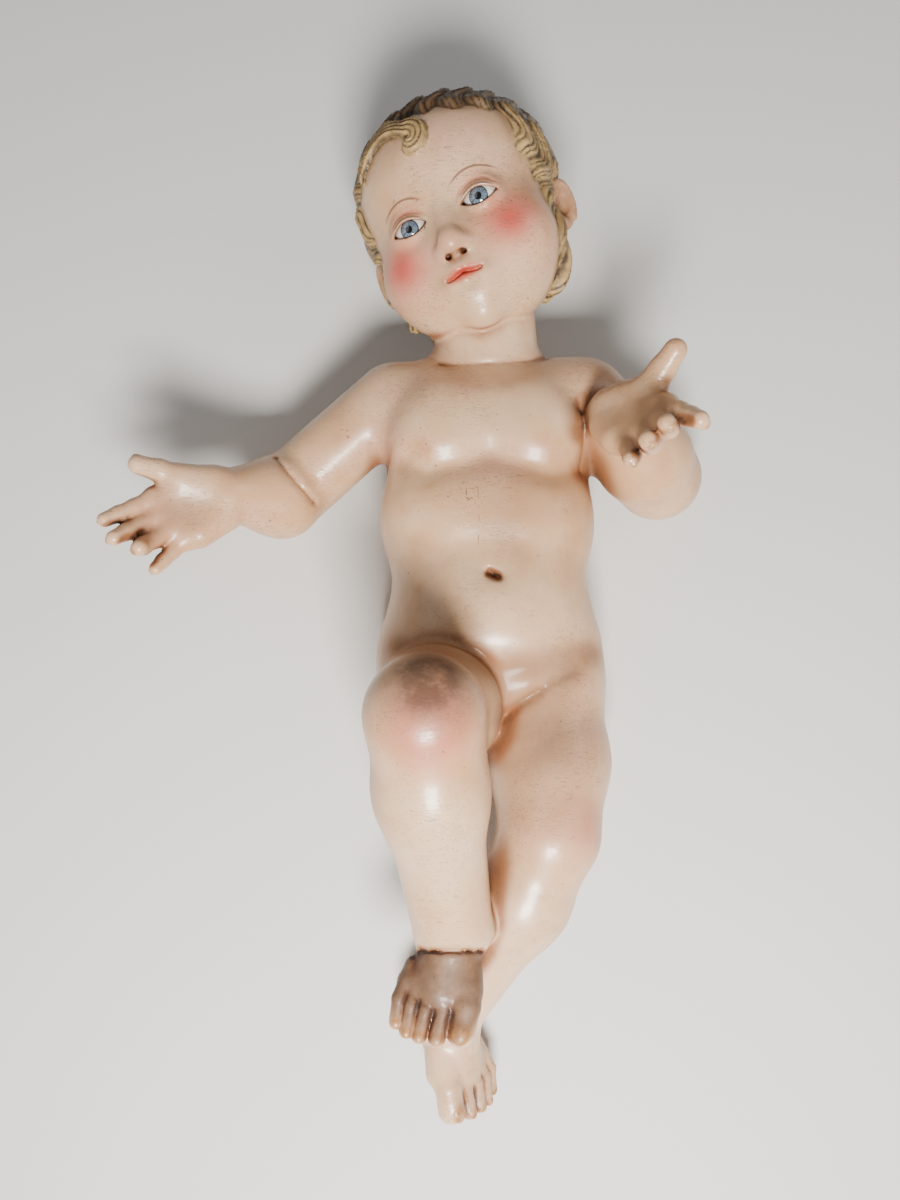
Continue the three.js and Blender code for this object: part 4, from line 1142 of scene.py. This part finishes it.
glass = Paint("blue grey glass eye")
axis = glass.mark("off_axis")
ring = node(glass.tree, "CombineXYZ")
for socket, word in zip(ring.inputs, ("turn_a", "turn_b")):
    glass.link(glass.mark(word), socket)
rays = node(glass.tree, "TexNoise")
rays.inputs["Scale"].default_value = 9
rays.inputs["Detail"].default_value = 3
glass.link(ring.outputs[0], rays.inputs["Vector"])
iris = glass.mix(srgb(58, 70, 84), srgb(118, 132, 146), glass.between(rays.outputs["Fac"], 0.35, 0.65))
iris = glass.mix(iris, srgb(30, 38, 48), glass.between(axis, 22, 26))
iris = glass.mix(srgb(6, 7, 9), iris, glass.between(axis, 8.5, 10.5))
white = glass.mix(srgb(226, 220, 212), srgb(210, 196, 186), glass.between(glass.noise(150, 3), 0.4, 0.7))
eye_paint = glass.mix(iris, white, glass.between(axis, 26.5, 29))
glass.link(eye_paint, glass.shader.inputs["Base Color"])
glass.shader.inputs["Roughness"].default_value = 0.08
glass.shader.inputs["Coat Weight"].default_value = 1.0
glass.shader.inputs["Coat Roughness"].default_value = 0.03
for name, place in zip(("eye_right", "eye_left"), EYE_PLACES):
    eye = glass_eye("glass_" + name, place)
    eye.data.materials.append(glass.material)
    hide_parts(name)
    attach(eye, "root")

# Floor, light and camera
floor_mesh = bpy.data.meshes.new("floor")
FLOOR_REACH = 3
corners = [(x * FLOOR_REACH, y * FLOOR_REACH, 0) for x, y in ((-1, -1), (1, -1), (1, 1), (-1, 1))]
floor_mesh.from_pydata(corners, [], [(0, 1, 2, 3)])
floor = added("floor", floor_mesh)
ground = Paint("pale floor")
ground.shader.inputs["Base Color"].default_value = srgb(214, 212, 208)
ground.shader.inputs["Roughness"].default_value = 0.9
floor.data.materials.append(ground.material)


# Where the lamps point, and their colour
LAMP_AIM = (0.01, 0, 0.05)
LAMP_COLOUR = (1, 0.97, 0.93)


def lamp(name, place, size, power):
    light = bpy.data.lights.new(name, "AREA")
    light.shape = "RECTANGLE"
    light.size, light.size_y = size
    light.energy = power
    light.color = LAMP_COLOUR
    thing = added(name, light)
    thing.location = place
    toward = np.subtract(LAMP_AIM, place)
    thing.rotation_euler = Vector(toward).to_track_quat("-Z", "Y").to_euler()


lamp("key", (0.06, -0.48, 0.66), (0.24, 0.2), 17)
lamp("fill", (-0.8, 0.2, 0.7), (0.8, 0.8), 2.2)
lamp("rim", (0.8, 0.4, 0.6), (0.6, 0.6), 2.6)
world = bpy.data.worlds.new("studio")
world.use_nodes = True
world.node_tree.nodes["Background"].inputs["Color"].default_value = (0.9, 0.93, 1, 1)
world.node_tree.nodes["Background"].inputs["Strength"].default_value = 0.17
bpy.context.scene.world = world

# The camera's place over the figure, how far it tilts toward the head, and its lens
CAMERA = np.array([26, -48.6, 490])
CAMERA_TILT = math.radians(6)
SENSOR = 36
FOCAL_PIXELS = 915
PICTURE_HEIGHT = 1200
view = bpy.data.cameras.new("camera")
view.sensor_width = SENSOR
view.lens = FOCAL_PIXELS / PICTURE_HEIGHT * SENSOR
camera = added("camera", view)
camera.location = (CAMERA + SHIFT) / MM
camera.rotation_euler = (CAMERA_TILT, 0, 0)
bpy.context.scene.camera = camera
